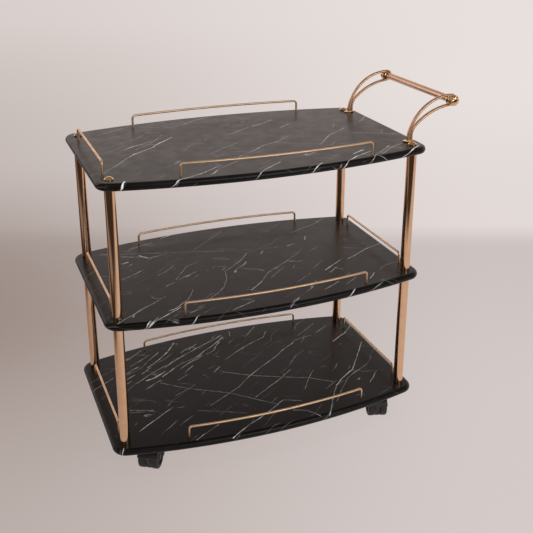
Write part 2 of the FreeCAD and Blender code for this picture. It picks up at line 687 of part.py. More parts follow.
def add_flange(body):
    """Flat flange under the foot, with a peg below it."""
    half = "dims.flange_width / 2"
    sketch = add_sketch(body, "flange", "XY_Plane")
    add_outline(sketch, [
        (f"{half} - dims.flange_heel", f"-{half}"),
        (f"dims.flange_toe - {half}", f"-{half}"),
        ("dims.flange_toe", "0"),
        (f"dims.flange_toe - {half}", half),
        (f"{half} - dims.flange_heel", half),
        ("-dims.flange_heel", "0"),
    ], {number: (half, True) for number in (1, 2, 4, 5)})
    extrude(body, "Pad", sketch, "dims.flange_thickness")
    peg = add_sketch(body, "peg", "XY_Plane")
    add_circle(peg, "places.peg_x", "0", "dims.peg_diameter / 2")
    extrude(body, "Pad", peg, "dims.peg_length", flip=True)


def add_arm(side):
    """Forked handle arm on the right end of the top shelf."""
    body = add_body(f"handle_arm_{side}")
    sketch = add_sketch(body, "side_view", "XZ_Plane")
    add_arm_outline(sketch)
    pad = extrude(body, "Pad", sketch, "dims.arm_thickness", symmetric=True)
    half = value("dims.arm_thickness / 2")
    rim = [edge.hashCode() for face in pad.Shape.Faces if abs(face.CenterOfMass.y) > half - 1e-4
           for edge in face.OuterWire.Edges if not lies_at(edge, 0)]
    round_edges(body, "edges", "dims.arm_edge_round", lambda edge: edge.hashCode() in rim)
    add_flange(body)
    drill(body, "screw_bore", "XY_Plane", "0", [("0", "0")], "dims.arm_screw_diameter / 2",
          "dims.arm_screw_grip + dims.rail_hole_spare", flip=True)
    drill(body, "bar_bore", "XZ_Plane", "dims.arm_thickness", [("dims.arm_reach", "dims.arm_rise")],
          "dims.end_screw_diameter / 2 + dims.bolt_hole_clearance")
    place(body, "places.mid_x + places.arm_x", f"{SIDES[side]} * places.handle_spread / 2", "places.top_top")
    return add_node(body)


BAR_X = "places.mid_x + places.arm_x + dims.arm_reach"


def add_bar():
    """Bar between the arms, with fine grooves along it and a bore for the end screws."""
    body = add_body("handle_bar")
    sketch = add_sketch(body, "section", "XZ_Plane")
    add_circle(sketch, "0", "0", "dims.bar_diameter / 2")
    add_circle(sketch, "0", "0", "dims.end_screw_diameter / 2")
    extrude(body, "Pad", sketch, "places.handle_spread - dims.arm_thickness", symmetric=True)
    flute = drill(body, "flute", "XZ_Plane", "places.handle_spread",
                  [("dims.bar_diameter / 2", "0")], "dims.flute_radius")
    repeat_round(body, flute, flute.Profile[0], "dims.flute_count")
    place(body, BAR_X, "0", "places.bar_z")
    return add_node(body)


def add_end_cap(side):
    """Cap over the end screw: a round bead and a dome beyond it."""
    sign = SIDES[side]
    edge = "dims.end_cap_seat_diameter / 2"
    room = "(dims.end_screw_head_diameter / 2 + dims.end_cap_room)"
    depth = f"{sign} * (dims.end_screw_head_height + dims.end_cap_room)"
    body = turned(f"handle_cap_{side}", "XY_Plane", [
        (room, "0"),
        (edge, "0"),
        (edge, f"{sign} * dims.end_cap_bead"),
        ("0", f"{sign} * (dims.end_cap_bead + dims.end_cap_dome_rise)"),
        ("0", depth),
        (room, depth),
    ], {1: ("places.bead_radius", sign > 0), 2: ("places.end_dome_radius", sign > 0)})
    place(body, BAR_X, f"{sign} * (places.handle_spread + dims.arm_thickness) / 2", "places.bar_z")
    return add_node(body)


def add_end_screws():
    """Screws through the arms' round ends into the bar."""
    screws = []
    for side, sign in SIDES.items():
        head = f"{sign} * dims.end_screw_head_height"
        tip = f"{-sign} * (dims.arm_thickness + dims.end_screw_grip)"
        shank = "dims.end_screw_diameter / 2 - dims.fit_clearance"
        screw = turned(f"end_screw_{side}", "XY_Plane", [
            ("0", head), ("dims.end_screw_head_diameter / 2", head),
            ("dims.end_screw_head_diameter / 2", "0"), (shank, "0"), (shank, tip), ("0", tip),
        ])
        place(screw, BAR_X, f"{sign} * (places.handle_spread + dims.arm_thickness) / 2", "places.bar_z")
        screws.append(screw)
    return add_group("handle_end_screws", screws)


def add_arm_screws():
    """Screws from under the top shelf into the arms' feet."""
    screws = []
    for side, sign in SIDES.items():
        screw = headed_screw(f"arm_screw_{side}", "dims.arm_screw_head_diameter",
                             "dims.arm_screw_head_height",
                             "(dims.arm_screw_diameter / 2 - dims.fit_clearance)",
                             "(dims.shelf_thickness + dims.arm_screw_grip)")
        place(screw, "places.mid_x + places.arm_x", f"{sign} * places.handle_spread / 2", "places.top_under")
        screws.append(screw)
    return add_group("handle_arm_screws", screws)


def add_plate(corner):
    """Square caster plate against the underside of the bottom shelf."""
    body = add_body(f"caster_{corner}_plate")
    sketch = add_sketch(body, "outline", "XY_Plane")
    half = "dims.plate_side / 2"
    half_side = value(half)
    add_outline(sketch, [(f"-{half}", f"-{half}"), (half, f"-{half}"), (half, half), (f"-{half}", half)])
    add_circle(sketch, "0", "0", "dims.kingpin_diameter / 2 + dims.fit_clearance")
    for x, y in four_way("dims.plate_screw_pitch / 2", "dims.plate_screw_pitch / 2"):
        add_circle(sketch, x, y, "dims.plate_screw_diameter / 2 + dims.bolt_hole_clearance")
    extrude(body, "Pad", sketch, "dims.plate_thickness")
    round_edges(body, "corners", "dims.plate_corner_radius",
                lambda edge: stands_upright(edge) and edge.Vertexes[0].X ** 2 > half_side ** 2 - 1)
    place(body, *caster_place(corner, "dims.caster_height - dims.plate_thickness"))
    return add_node(body)


def add_swivel_hardware():
    """Swivel pins, swivel washers and plate screws of the four casters."""
    pins, washers, screws = [], [], []
    for corner in CORNERS:
        pin = doc.addObject("Part::Cylinder", f"kingpin_{corner}")
        pin.setExpression("Radius", "dims.kingpin_diameter / 2")
        pin.setExpression("Height", "dims.caster_height - places.hood_top + dims.kingpin_depth")
        place(pin, *caster_place(corner, "places.hood_top - dims.kingpin_depth"))
        pins.append(pin)
        washer = ring(f"swivel_washer_{corner}", "dims.kingpin_diameter / 2 + dims.fit_clearance",
                      "dims.swivel_washer_diameter / 2", "dims.swivel_washer_thickness")
        place(washer, *caster_place(corner, "places.hood_top + dims.swivel_gap"))
        washers.append(washer)
        for number, (x, y) in enumerate(plate_screw_spots(corner)):
            screw = headed_screw(f"plate_screw_{corner}_{number}", "dims.plate_screw_head_diameter",
                                 "dims.plate_screw_head_height",
                                 "(dims.plate_screw_diameter / 2 - dims.fit_clearance)",
                                 "(dims.plate_thickness + dims.plate_screw_sink)")
            place(screw, f"places.mid_x + {x}", y, "dims.caster_height - dims.plate_thickness")
            screws.append(screw)
    add_group("caster_kingpins", pins)
    add_group("swivel_washers", washers)
    add_group("caster_plate_screws", screws)


def on_hood(angle):
    """Point of the hood's outer circle, seen along the axle."""
    return (f"dims.caster_trail + places.hood_radius * cos({angle})",
            f"places.wheel_radius + places.hood_radius * sin({angle})")


def add_neck(body):
    """Neck of a hood, turned about the swivel axis and flared towards its top."""
    neck = add_sketch(body, "neck", "XZ_Plane")
    add_outline(neck, [
        ("0", "places.neck_under"),
        ("dims.neck_waist_radius", "places.neck_under"),
        ("dims.neck_top_radius", "places.hood_top - dims.neck_rim"),
        ("dims.neck_top_radius", "places.hood_top"),
        ("0", "places.hood_top"),
    ], {1: ("dims.neck_flare_radius", False)})
    revolve(body, neck)
    doc.recompute()


def add_hood(corner):
    """Shell over both wheels with a middle wall and a flared neck on the swivel pin."""
    body = add_body(f"caster_{corner}_hood")
    axle = ("dims.caster_trail", "places.wheel_radius")
    side = add_sketch(body, "side_view", "XZ_Plane")
    add_outline(side, [
        on_hood("dims.hood_front_angle"),
        on_hood("90"),
        on_hood("dims.hood_back_angle"),
        ("dims.caster_trail - dims.web_foot", "places.wheel_radius - dims.web_drop"),
        ("dims.caster_trail + dims.web_foot", "places.wheel_radius - dims.web_drop"),
    ], {0: ("places.hood_radius", True), 1: ("places.hood_radius", True)})
    extrude(body, "Pad", side, "places.hood_width", symmetric=True)
    add_neck(body)
    half_web = "dims.web_thickness / 2"
    drill(body, "well_right", "XZ_Plane", half_web, [axle], "places.well_radius", flip=True)
    drill(body, "well_left", "XZ_Plane", f"-{half_web}", [axle], "places.well_radius")
    drill(body, "pin_bore", "XY_Plane", "places.hood_top", [("0", "0")],
          "dims.kingpin_diameter / 2 + dims.running_clearance", "dims.kingpin_depth + dims.kingpin_spare")
    drill(body, "axle_bore", "XZ_Plane", "places.hood_width", [axle],
          "dims.axle_diameter / 2 + dims.fit_clearance")
    place(body, *caster_place(corner, "0"), turn=f"dims.swivel_angle_{corner}")
    return add_node(body)


def axle_place(corner):
    """Position formulas of the middle of a caster's axle."""
    x, y, _ = caster_place(corner, "0")
    turn = f"dims.swivel_angle_{corner}"
    return (f"{x} + dims.caster_trail * cos({turn})", f"{y} + dims.caster_trail * sin({turn})",
            "places.wheel_radius", turn)


def add_axle(corner):
    """Axle with a button on each end that keeps the wheels on."""
    shaft = "dims.axle_diameter / 2"
    button = "dims.axle_head_diameter / 2"
    end = "(places.axle_shoulder + dims.axle_head_height)"
    body = turned(f"caster_{corner}_axle", "XY_Plane", [
        ("0", f"-{end}"), (button, f"-{end}"), (button, "-places.axle_shoulder"),
        (shaft, "-places.axle_shoulder"), (shaft, "places.axle_shoulder"),
        (button, "places.axle_shoulder"), (button, end), ("0", end),
    ])
    place(body, *axle_place(corner))
    return add_node(body)


def add_wheel(corner, side, sign):
    """Wheel with rounded tread edges and a dished outer face."""
    bore = "dims.axle_diameter / 2 + dims.running_clearance"
    tread = "places.wheel_radius"
    shoulder = "places.wheel_radius - dims.wheel_edge_round"
    inner = f"{sign} * (dims.web_thickness / 2 + dims.wheel_side_gap)"
    outer = f"{sign} * (places.wheel_offset + dims.wheel_width / 2)"
    dish = f"{sign} * (places.wheel_offset + dims.wheel_width / 2 - dims.wheel_dish_depth)"
    body = turned(f"caster_{corner}_wheel_{side}", "XY_Plane", [
        (bore, inner),
        (shoulder, inner),
        (tread, f"{inner} + {sign} * dims.wheel_edge_round"),
        (tread, f"{outer} - {sign} * dims.wheel_edge_round"),
        (shoulder, outer),
        ("dims.wheel_dish_radius", outer),
        ("dims.wheel_dish_radius", dish),
        (bore, dish),
    ], {1: ("dims.wheel_edge_round", sign > 0), 3: ("dims.wheel_edge_round", sign > 0)})
    place(body, *axle_place(corner))
    return add_node(body)


def build():
    """Makes every sub-part of the trolley."""
    shelves = {level: add_shelf(level) for level in LEVELS}
    add_handle_holes(shelves["top"])
    add_caster_holes(shelves["bottom"])
    for corner in CORNERS:
        add_post(f"lower_post_{corner}", corner, "bottom")
        add_post(f"upper_post_{corner}", corner, "middle")
    add_plugs("lower_post_plugs", ("bottom", "middle"))
    add_plugs("upper_post_plugs", ("middle", "top"))
    add_studs()
    add_cap_screws()
    add_foot_bolts()
    add_rails()
    for side in SIDES:
        add_arm(side)
        add_end_cap(side)
    add_bar()
    add_end_screws()
    add_arm_screws()
    for corner in CORNERS:
        add_plate(corner)
        add_hood(corner)
        add_axle(corner)
        add_wheel(corner, "left", 1)
        add_wheel(corner, "right", -1)
    add_swivel_hardware()
    doc.recompute()


def export():
    """Writes each sub-part, after a check of every object and shape."""
    for obj in doc.Objects:
        if "Invalid" in obj.State or "Error" in obj.State:
            raise RuntimeError(f"{obj.Label} could not be computed")
    os.makedirs("parts", exist_ok=True)
    for name, obj in nodes.items():
        if obj.Shape.isNull() or not obj.Shape.isValid():
            raise RuntimeError(f"{name} has no valid shape")
        obj.Shape.exportStep(f"parts/{name}.step")


build()
export()
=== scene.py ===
import json
import math
from functools import reduce

import bpy
import numpy as np
from bpy.props import FloatProperty, FloatVectorProperty, PointerProperty
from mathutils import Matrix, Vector


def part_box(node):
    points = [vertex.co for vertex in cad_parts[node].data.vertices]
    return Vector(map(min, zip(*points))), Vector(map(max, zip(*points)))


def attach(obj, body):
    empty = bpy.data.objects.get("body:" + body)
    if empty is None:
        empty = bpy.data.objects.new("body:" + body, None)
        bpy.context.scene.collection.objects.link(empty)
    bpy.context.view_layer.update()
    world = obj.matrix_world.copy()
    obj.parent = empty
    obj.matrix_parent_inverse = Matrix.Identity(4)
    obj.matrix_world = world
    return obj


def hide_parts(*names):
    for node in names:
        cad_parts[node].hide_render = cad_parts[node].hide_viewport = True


bl_info = {
    "name": "Tea trolley looks",
    "version": (1, 1, 0),
    "blender": (4, 5, 0),
    "location": "View3D > Sidebar > Tea trolley",
    "description": "Dresses a three-shelf tea trolley in black marble, rose gold and black nylon",
    "category": "Object",
}

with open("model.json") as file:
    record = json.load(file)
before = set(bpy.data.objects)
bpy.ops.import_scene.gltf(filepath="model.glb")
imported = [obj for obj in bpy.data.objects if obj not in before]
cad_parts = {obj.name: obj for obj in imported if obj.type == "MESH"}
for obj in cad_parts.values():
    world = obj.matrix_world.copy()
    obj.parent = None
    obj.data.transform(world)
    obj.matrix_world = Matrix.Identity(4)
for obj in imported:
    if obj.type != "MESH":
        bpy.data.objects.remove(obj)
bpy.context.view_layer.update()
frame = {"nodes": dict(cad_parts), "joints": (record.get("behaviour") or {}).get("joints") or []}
NODES = frame["nodes"]
JOINTS = {joint["child"]: joint for joint in frame["joints"]}
MM = 0.001
SAME_PLACE = 1e-9
SHARP_EDGE = math.radians(38)
LAYER_GAP = 0.7  # metres between the layers of the marble's pattern that the three shelves show
LEVELS = ("bottom", "middle", "top")


def box_of(node):
    """Lowest and highest corner of a CAD node at rest, as arrays."""
    return tuple(np.array(corner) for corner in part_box(node))


SHELF_LOW, SHELF_HIGH = box_of("shelf_top")
SHELF_CENTRE = (SHELF_LOW + SHELF_HIGH) / 2
TOP_TOP = SHELF_HIGH[2]
BOTTOM_TOP = box_of("shelf_bottom")[1][2]

# Main veins of each shelf: points in millimetres from the shelf's centre, then the vein's
# brightness and its half width in millimetres. Most run from front left to back right.
VEINS = {
    "top": (
        (((-335, -130), (-300, -88), (-262, -38)), 0.42, 0.8),
        (((-262, -38), (-245, -20), (-196, 16), (-186, 30), (-140, 76)), 0.85, 1.0),
        (((-236, 10), (-200, 38), (-155, 102)), 0.26, 1.0),
        (((-100, -75), (-60, -45), (-20, -20)), 0.22, 0.9),
        (((-50, -117), (0, -82), (30, -55), (60, -45), (110, -5)), 0.42, 0.9),
        (((-20, 50), (10, 68), (50, 96)), 0.4, 1.0),
        (((60, 100), (100, 122), (128, 142)), 0.5, 1.2),
        (((117, 67), (132, 76), (150, 90)), 0.5, 1.1),
        (((-80, 178), (-48, 200), (0, 224)), 0.45, 1.3),
        (((-185, 192), (-150, 168), (-110, 152)), 0.25, 1.1),
        (((-290, 155), (-225, 190)), 0.28, 1.2),
        (((55, 165), (110, 200)), 0.2, 1.0),
        (((145, -95), (195, -35), (255, 10)), 0.34, 1.2),
        (((232, 20), (250, 55)), 0.22, 1.0),
        (((-145, -35), (-110, 10)), 0.22, 0.9),
        (((-155, -195), (-120, -170), (-100, -155)), 0.6, 0.9),
        (((-228, -232), (-205, -216), (-186, -210), (-155, -195)), 0.95, 1.1),
        (((-58, -246), (-30, -215), (17, -180)), 0.62, 0.9),
        (((60, -250), (70, -236), (92, -218)), 0.95, 1.2),
        (((126, -252), (150, -222), (180, -200), (225, -178)), 0.85, 1.0),
        (((180, -183), (195, -173), (212, -165)), 1.0, 1.7),
        (((186, -248), (225, -200), (255, -178), (280, -155)), 0.55, 0.9),
        (((235, -205), (270, -176), (312, -150)), 0.5, 0.8),
        (((262, -240), (285, -218), (310, -200), (346, -172)), 0.95, 1.1),
        (((255, -35), (300, -56), (350, -80)), 0.4, 1.1),
        (((315, 52), (334, 70), (354, 96)), 0.42, 1.0),
        (((-324, -240), (-318, -215), (-305, -190)), 1.0, 2.2),
        (((60, -45), (110, -72), (150, -94)), 0.22, 0.9),
        (((-50, -75), (10, -105)), 0.18, 0.9),
    ),
    "middle": (
        (((-300, 165), (-190, 132), (-85, 102), (-20, 82)), 0.34, 1.2),
        (((-20, 82), (60, 65), (105, 54)), 0.22, 1.0),
        (((-214, 128), (-206, 114), (-199, 104)), 0.95, 2.0),
        (((-192, 106), (-150, 113)), 0.55, 1.2),
        (((-262, 94), (-248, 98)), 0.8, 1.8),
        (((-225, 172), (-167, 195)), 0.42, 1.0),
        (((-282, 10), (-252, 26), (-225, 44)), 0.55, 0.9),
        (((-202, 4), (-180, 18), (-155, 40)), 0.45, 0.9),
        (((-170, -32), (-150, -5), (-130, 25), (-100, 40)), 0.45, 1.0),
        (((-198, -56), (-177, -45)), 0.65, 1.2),
        (((-132, -150), (-100, -127), (-82, -105), (-62, -65), (-55, -30)), 0.5, 0.9),
        (((-55, -30), (-10, 5), (6, 22), (25, 47)), 0.65, 1.0),
        (((-32, -141), (-14, -126), (6, -108)), 0.95, 1.3),
        (((6, -108), (30, -75), (70, -47), (100, -25), (148, 11)), 0.5, 1.0),
        (((30, -100), (80, -55)), 0.4, 0.8),
        (((160, -106), (190, -86), (218, -66)), 1.0, 1.2),
        (((235, -68), (270, -50), (300, -32), (352, -13)), 0.85, 1.1),
        (((134, 54), (156, 63)), 0.8, 1.6),
        (((58, 34), (70, 50)), 0.7, 1.4),
        (((190, 76), (200, 97)), 0.9, 1.6),
        (((175, 130), (215, 148), (255, 165), (292, 190)), 0.45, 1.3),
        (((-282, -218), (-240, -192), (-197, -165)), 0.9, 1.1),
        (((-335, -190), (-280, -150), (-212, -105)), 0.45, 0.9),
        (((-175, -140), (-150, -95)), 0.42, 0.9),
        (((-187, -198), (-150, -180)), 0.5, 1.0),
        (((-102, -216), (-72, -203), (-45, -192)), 0.6, 1.2),
        (((116, -197), (140, -184), (162, -171)), 0.7, 1.1),
        (((234, -181), (257, -159)), 0.75, 1.1),
        (((75, -142), (122, -110)), 0.4, 0.9),
        (((156, -242), (178, -218)), 0.95, 1.3),
        (((-292, -222), (-270, -202)), 0.9, 1.2),
        (((-90, 110), (-40, 152), (15, 202)), 0.28, 0.9),
        (((-140, 212), (-98, 232)), 0.8, 1.2),
        (((20, -238), (48, -214)), 0.7, 1.0),
    ),
    "bottom": (
        (((-118, -101), (-60, -67), (-30, -50), (0, -22)), 0.55, 0.9),
        (((0, -22), (50, 15), (100, 45), (132, 72), (168, 94)), 0.85, 1.0),
        (((165, 94), (180, 106), (232, 116)), 0.42, 1.1),
        (((-200, 34), (-150, -10), (-105, -40), (-60, -67)), 0.5, 1.0),
        (((-60, -67), (-15, -112), (25, -150)), 0.42, 1.0),
        (((-45, 27), (15, -14), (50, -32), (140, -75), (186, -110)), 0.45, 1.1),
        (((-10, -105), (60, -62), (112, -25)), 0.6, 0.9),
        (((118, -2), (150, 32), (182, 52)), 0.42, 0.9),
        (((-252, 52), (-210, 82), (-165, 106)), 0.62, 1.0),
        (((-228, 54), (-208, 60), (-176, 79)), 1.0, 1.8),
        (((-212, 112), (-180, 136), (-167, 148), (-144, 170)), 0.9, 1.3),
        (((-142, 174), (-118, 207)), 0.75, 1.4),
        (((-150, 114), (-100, 144), (-60, 165), (10, 202)), 0.75, 1.1),
        (((-144, 92), (-98, 112), (-87, 116)), 0.5, 1.0),
        (((-87, 115), (-56, 140), (-30, 156), (8, 190)), 0.9, 1.2),
        (((-115, 152), (-95, 165)), 0.8, 1.2),
        (((-20, 80), (20, 107), (48, 124), (110, 153), (126, 176)), 0.62, 1.0),
        (((20, 107), (46, 122)), 0.95, 1.2),
        (((188, -126), (215, -104), (256, -77)), 1.0, 1.4),
        (((256, -77), (280, -44), (302, -15), (340, 36)), 0.72, 1.1),
        (((120, -232), (150, -184), (168, -156), (188, -126)), 0.6, 1.0),
        (((158, -190), (196, -142), (232, -104)), 0.35, 0.8),
        (((270, 64), (300, 84), (318, 93), (352, 126)), 0.9, 1.2),
        (((-294, -140), (-250, -110), (-225, -92), (-200, -77)), 0.65, 1.2),
        (((-294, -53), (-245, -72)), 0.45, 1.2),
        (((-182, -33), (-140, -12)), 0.4, 0.9),
        (((-186, -214), (-125, -178)), 0.6, 0.9),
        (((-110, -232), (-60, -202), (-20, -181), (45, -140)), 0.72, 1.0),
        (((45, -140), (84, -158)), 0.4, 0.9),
        (((50, -186), (80, -200), (98, -228)), 0.5, 1.0),
        (((-150, -110), (-50, -160)), 0.25, 1.0),
        (((-66, 33), (-44, 52)), 0.75, 1.2),
        (((198, 126), (230, 148), (262, 172)), 0.42, 1.0),
        (((250, 125), (290, 150)), 0.5, 1.2),
        (((-252, 165), (-205, 200)), 0.5, 1.1),
        (((-250, 132), (-192, 170)), 0.42, 1.0),
        (((110, -116), (138, -76), (165, -46)), 0.5, 0.9),
        (((30, 190), (36, 214)), 0.5, 1.2),
        (((66, 170), (112, 218)), 0.42, 1.0),
        (((-360, 55), (-300, 95)), 0.45, 1.0),
        (((-352, -206), (-338, -188)), 0.95, 1.6),
        (((-268, 100), (-250, 114), (-232, 124)), 0.8, 1.0),
        (((-302, 38), (-262, 66)), 0.7, 1.0),
        (((-238, 18), (-196, 46)), 0.8, 1.0),
        (((-188, 58), (-150, 86)), 0.9, 1.3),
        (((-172, 96), (-128, 130)), 0.85, 1.0),
        (((-232, 88), (-204, 110)), 0.9, 1.0),
        (((-132, 58), (-104, 80)), 0.7, 1.0),
        (((-114, 94), (-70, 124)), 0.8, 1.0),
        (((-198, 148), (-168, 174)), 0.8, 1.0),
        (((-284, 68), (-250, 90)), 0.8, 1.2),
        (((-160, 28), (-130, 46)), 0.6, 0.9),
        (((-92, 160), (-66, 180)), 0.7, 1.0),
    ),
}

# Places where the fine veins crowd: centre and radius in millimetres from the shelf's centre.
CROWDS = {
    "top": ((-200, 10, 70), (190, -205, 120), (-130, -190, 60)),
    "middle": ((-220, 120, 70), (-60, -60, 120), (190, -100, 130), (-230, -180, 90)),
    "bottom": ((-190, 90, 110), (-50, 150, 90), (230, -110, 90), (-230, -110, 70)),
}

# Shares of a half width or radius: full strength up to the core, none past the side.
VEIN_CORE, VEIN_SIDE = 0.4, 1.15
CROWD_CORE, CROWD_SIDE = 0.5, 1.25
# The same for a fine vein, as shares of the lines' spacing, and how many spacings a line strays.
HAIR_CORE, HAIR_SIDE, HAIR_STRAY = 0.012, 0.045, 2.6

# Circles of a forked arm in side view, in millimetres from the middle of its foot: centre, radius
# and the angles in degrees between which the arm follows it.
ARM_BACK = ((95.29, -4.88), 103.0, 172.8, 87.0)
ARM_BELLY = ((34.9, 13.0), 28.0, 180.0, 134.2)
ARM_TAIL = ((109.51, -63.70), 135.0, 134.2, 93.7)

# How strongly painted shade darkens the left side of the floor: between two distances ahead of the
# camera, in metres, a share that goes from the third number to the fourth.
LEFT_SHADE_RUNS = ((1.2, 2.3, 0.42, 0.86), (2.2, 3.9, 1.0, 0.52), (4.0, 9.0, 1.0, 0.5))

# Lamps: place, target and size in metres, power in watts, and whether reflections show the lamp.
LAMPS = {
    "overhead_lamp": ((0.0, 0.1, 2.7), (0.0, 0.0, 0.4), (3.4, 3.0), 46.0, False),
    "key_lamp": ((-1.7, -1.2, 1.9), (0.0, 0.0, 0.4), (0.7, 1.2), 6.0, True),
    "front_lamp": ((0.8, -2.5, 1.5), (0.1, 0.0, 0.4), (1.9, 0.9), 20.0, True),
    "fill_lamp": ((-0.8, -2.8, 1.7), (0.0, 0.0, 0.4), (2.2, 1.6), 34.0, False),
}


class Field:
    """A number that varies over a surface: an output socket with Python's arithmetic."""

    def __init__(self, nodes, socket):
        self.nodes = nodes
        self.socket = socket

    def maths(self, operation, *values):
        """Math node on these values."""
        return self.nodes.field("ShaderNodeMath", {"operation": operation}, dict(enumerate(values)))

    def __add__(self, other):
        return self.maths("ADD", self, other)

    def __radd__(self, other):
        return self.maths("ADD", other, self)

    def __sub__(self, other):
        return self.maths("SUBTRACT", self, other)

    def __rsub__(self, other):
        return self.maths("SUBTRACT", other, self)

    def __mul__(self, other):
        return self.maths("MULTIPLY", self, other)

    def __rmul__(self, other):
        return self.maths("MULTIPLY", other, self)

    def __truediv__(self, other):
        return self.maths("DIVIDE", self, other)

    def __rtruediv__(self, other):
        return self.maths("DIVIDE", other, self)

    def __abs__(self):
        return self.maths("ABSOLUTE", self)

    def maximum(self, other):
        """The larger of the two."""
        return self.maths("MAXIMUM", self, other)

    def minimum(self, other):
        """The smaller of the two."""
        return self.maths("MINIMUM", self, other)

    def step(self, start, end, low=0.0, high=1.0):
        """Smooth step from low at start to high at end."""
        settings = {"interpolation_type": "SMOOTHSTEP"}
        sockets = {"Value": self, "From Min": start, "From Max": end, "To Min": low, "To Max": high}
        return self.nodes.field("ShaderNodeMapRange", settings, sockets)


class Nodes:
    """A node tree under construction."""

    def __init__(self, tree):
        self.tree = tree

    def node(self, kind, settings=None, sockets=None):
        """Node of a kind, with its settings made first and then its sockets filled or linked."""
        node = self.tree.nodes.new(kind)
        for name, value in (settings or {}).items():
            setattr(node, name, value)
        self.fill(node, sockets or {})
        return node

    def fill(self, node, sockets):
        """Gives a node's inputs their values, or links them to fields and sockets."""
        for name, value in sockets.items():
            value = value.socket if isinstance(value, Field) else value
            if isinstance(value, bpy.types.NodeSocket):
                self.tree.links.new(value, node.inputs[name])
            else:
                node.inputs[name].default_value = value

    def field(self, kind, settings=None, sockets=None, output=0):
        """Field on one output of a new node."""
        return Field(self, self.node(kind, settings, sockets).outputs[output])

    def vector(self, operation, *values, scale=None):
        """Output socket of a Vector Math node."""
        sockets = dict(enumerate(values))
        if scale is not None:
            sockets["Scale"] = scale
        return self.node("ShaderNodeVectorMath", {"operation": operation}, sockets).outputs[0]

    def measure(self, operation, *values):
        """Field on a Vector Math node that gives a number, such as a dot product or a distance."""
        settings = {"operation": operation}
        return self.field("ShaderNodeVectorMath", settings, dict(enumerate(values)), "Value")

    def blend(self, amount, first, second):
        """Colour between two colours."""
        node = self.node("ShaderNodeMix", {"data_type": "RGBA"})
        self.fill(node, {"Factor": amount})
        for name, colour in (("A", first), ("B", second)):
            socket = next(s for s in node.inputs if s.name == name and s.type == "RGBA")
            if isinstance(colour, bpy.types.NodeSocket):
                self.tree.links.new(colour, socket)
            else:
                socket.default_value = full_colour(colour)
        return next(s for s in node.outputs if s.type == "RGBA")


class Finish(Nodes):
    """A material under construction, with a Principled shader at its end."""

    def __init__(self, name):
        self.material = bpy.data.materials.new(name)
        self.material.use_nodes = True
        super().__init__(self.material.node_tree)
        self.shader = self.tree.nodes["Principled BSDF"]
        self.output = self.tree.nodes["Material Output"]
        self.place = self.node("ShaderNodeTexCoord").outputs["Object"]

    def mapped(self, stretch=(1.0, 1.0, 1.0), turn=0.0):
        """Place on the piece, turned about Z and then stretched."""
        sockets = {"Vector": self.place, "Angle": turn}
        rotation = self.node("ShaderNodeVectorRotate", {"rotation_type": "Z_AXIS"}, sockets)
        return self.vector("MULTIPLY", rotation.outputs[0], stretch)

    def noise(self, scale, detail=3.0, roughness=0.5, place=None, colour=False):
        """Noise over the piece."""
        sockets = {"Vector": place or self.place, "Scale": scale, "Detail": detail,
                   "Roughness": roughness}
        texture = self.node("ShaderNodeTexNoise", None, sockets)
        return texture.outputs["Color"] if colour else Field(self, texture.outputs["Fac"])

    def wander(self, scale, reach):
        """Vector that strays either way by up to about half of reach."""
        centred = self.vector("SUBTRACT", self.noise(scale, 2.0, colour=True), (0.5, 0.5, 0.5))
        return self.vector("SCALE", centred, scale=reach)

    def bump(self, height, depth):
        """Normal of a surface raised by a field, over a depth in metres."""
        return self.node("ShaderNodeBump", None, {"Height": height, "Distance": depth}).outputs[0]

    def shade(self, sockets):
        """Sets the Principled shader and gives the finished material."""
        self.fill(self.shader, sockets)
        return self.material


def full_colour(values):
    """Colour with full alpha."""
    return (*tuple(values)[:3], 1.0)


def scaled(colour, factor):
    """Colour made darker or lighter."""
    return tuple(channel * factor for channel in tuple(colour)[:3])


def strongest(fields):
    """The largest of several fields."""
    return reduce(Field.maximum, fields)


def vein_strength(finish, points, brightness, half_width):
    """Brightness of one vein: a chain of straight strokes, soft at the sides and round at the
    ends. The distance to a stroke is that to the nearest point between its two ends."""
    strokes = []
    for start, end in zip(points[:-1], points[1:]):
        run = Vector((end[0] - start[0], end[1] - start[1], 0.0))
        away = finish.vector("SUBTRACT", finish.drift, (*start, 0.0))
        share = finish.measure("DOT_PRODUCT", away, run / run.length_squared)
        near = finish.vector("SCALE", tuple(run), scale=share.maximum(0.0).minimum(1.0))
        gap = finish.measure("DISTANCE", away, near) * finish.thinning
        strokes.append(gap.step(half_width * VEIN_SIDE, half_width * VEIN_CORE, high=brightness))
    return strongest(strokes)


def hairlines(finish, spacing, turn, seed):
    """Fine veins: lines along one direction that stray so far that their spacing is uneven, shown
    only in stretched patches. A triangle wave of the place across the lines is 0 on each line."""
    place = finish.vector("ADD", finish.mapped((0.3, 1.0, 1.0), turn), (seed, seed, 0.0))
    across = finish.measure("DOT_PRODUCT", place, (0.0, 1.0 / spacing, 0.0))
    strayed = across + finish.noise(scale=22.0, detail=2.0, place=place) * HAIR_STRAY
    line = strayed.maths("PINGPONG", strayed, 0.5)
    elsewhere = finish.vector("ADD", place, (0.0, 0.0, seed + 5.0))
    patch = finish.noise(scale=34.0, roughness=0.6, place=elsewhere)
    return line.step(HAIR_SIDE, HAIR_CORE) * patch.step(0.52, 0.62)


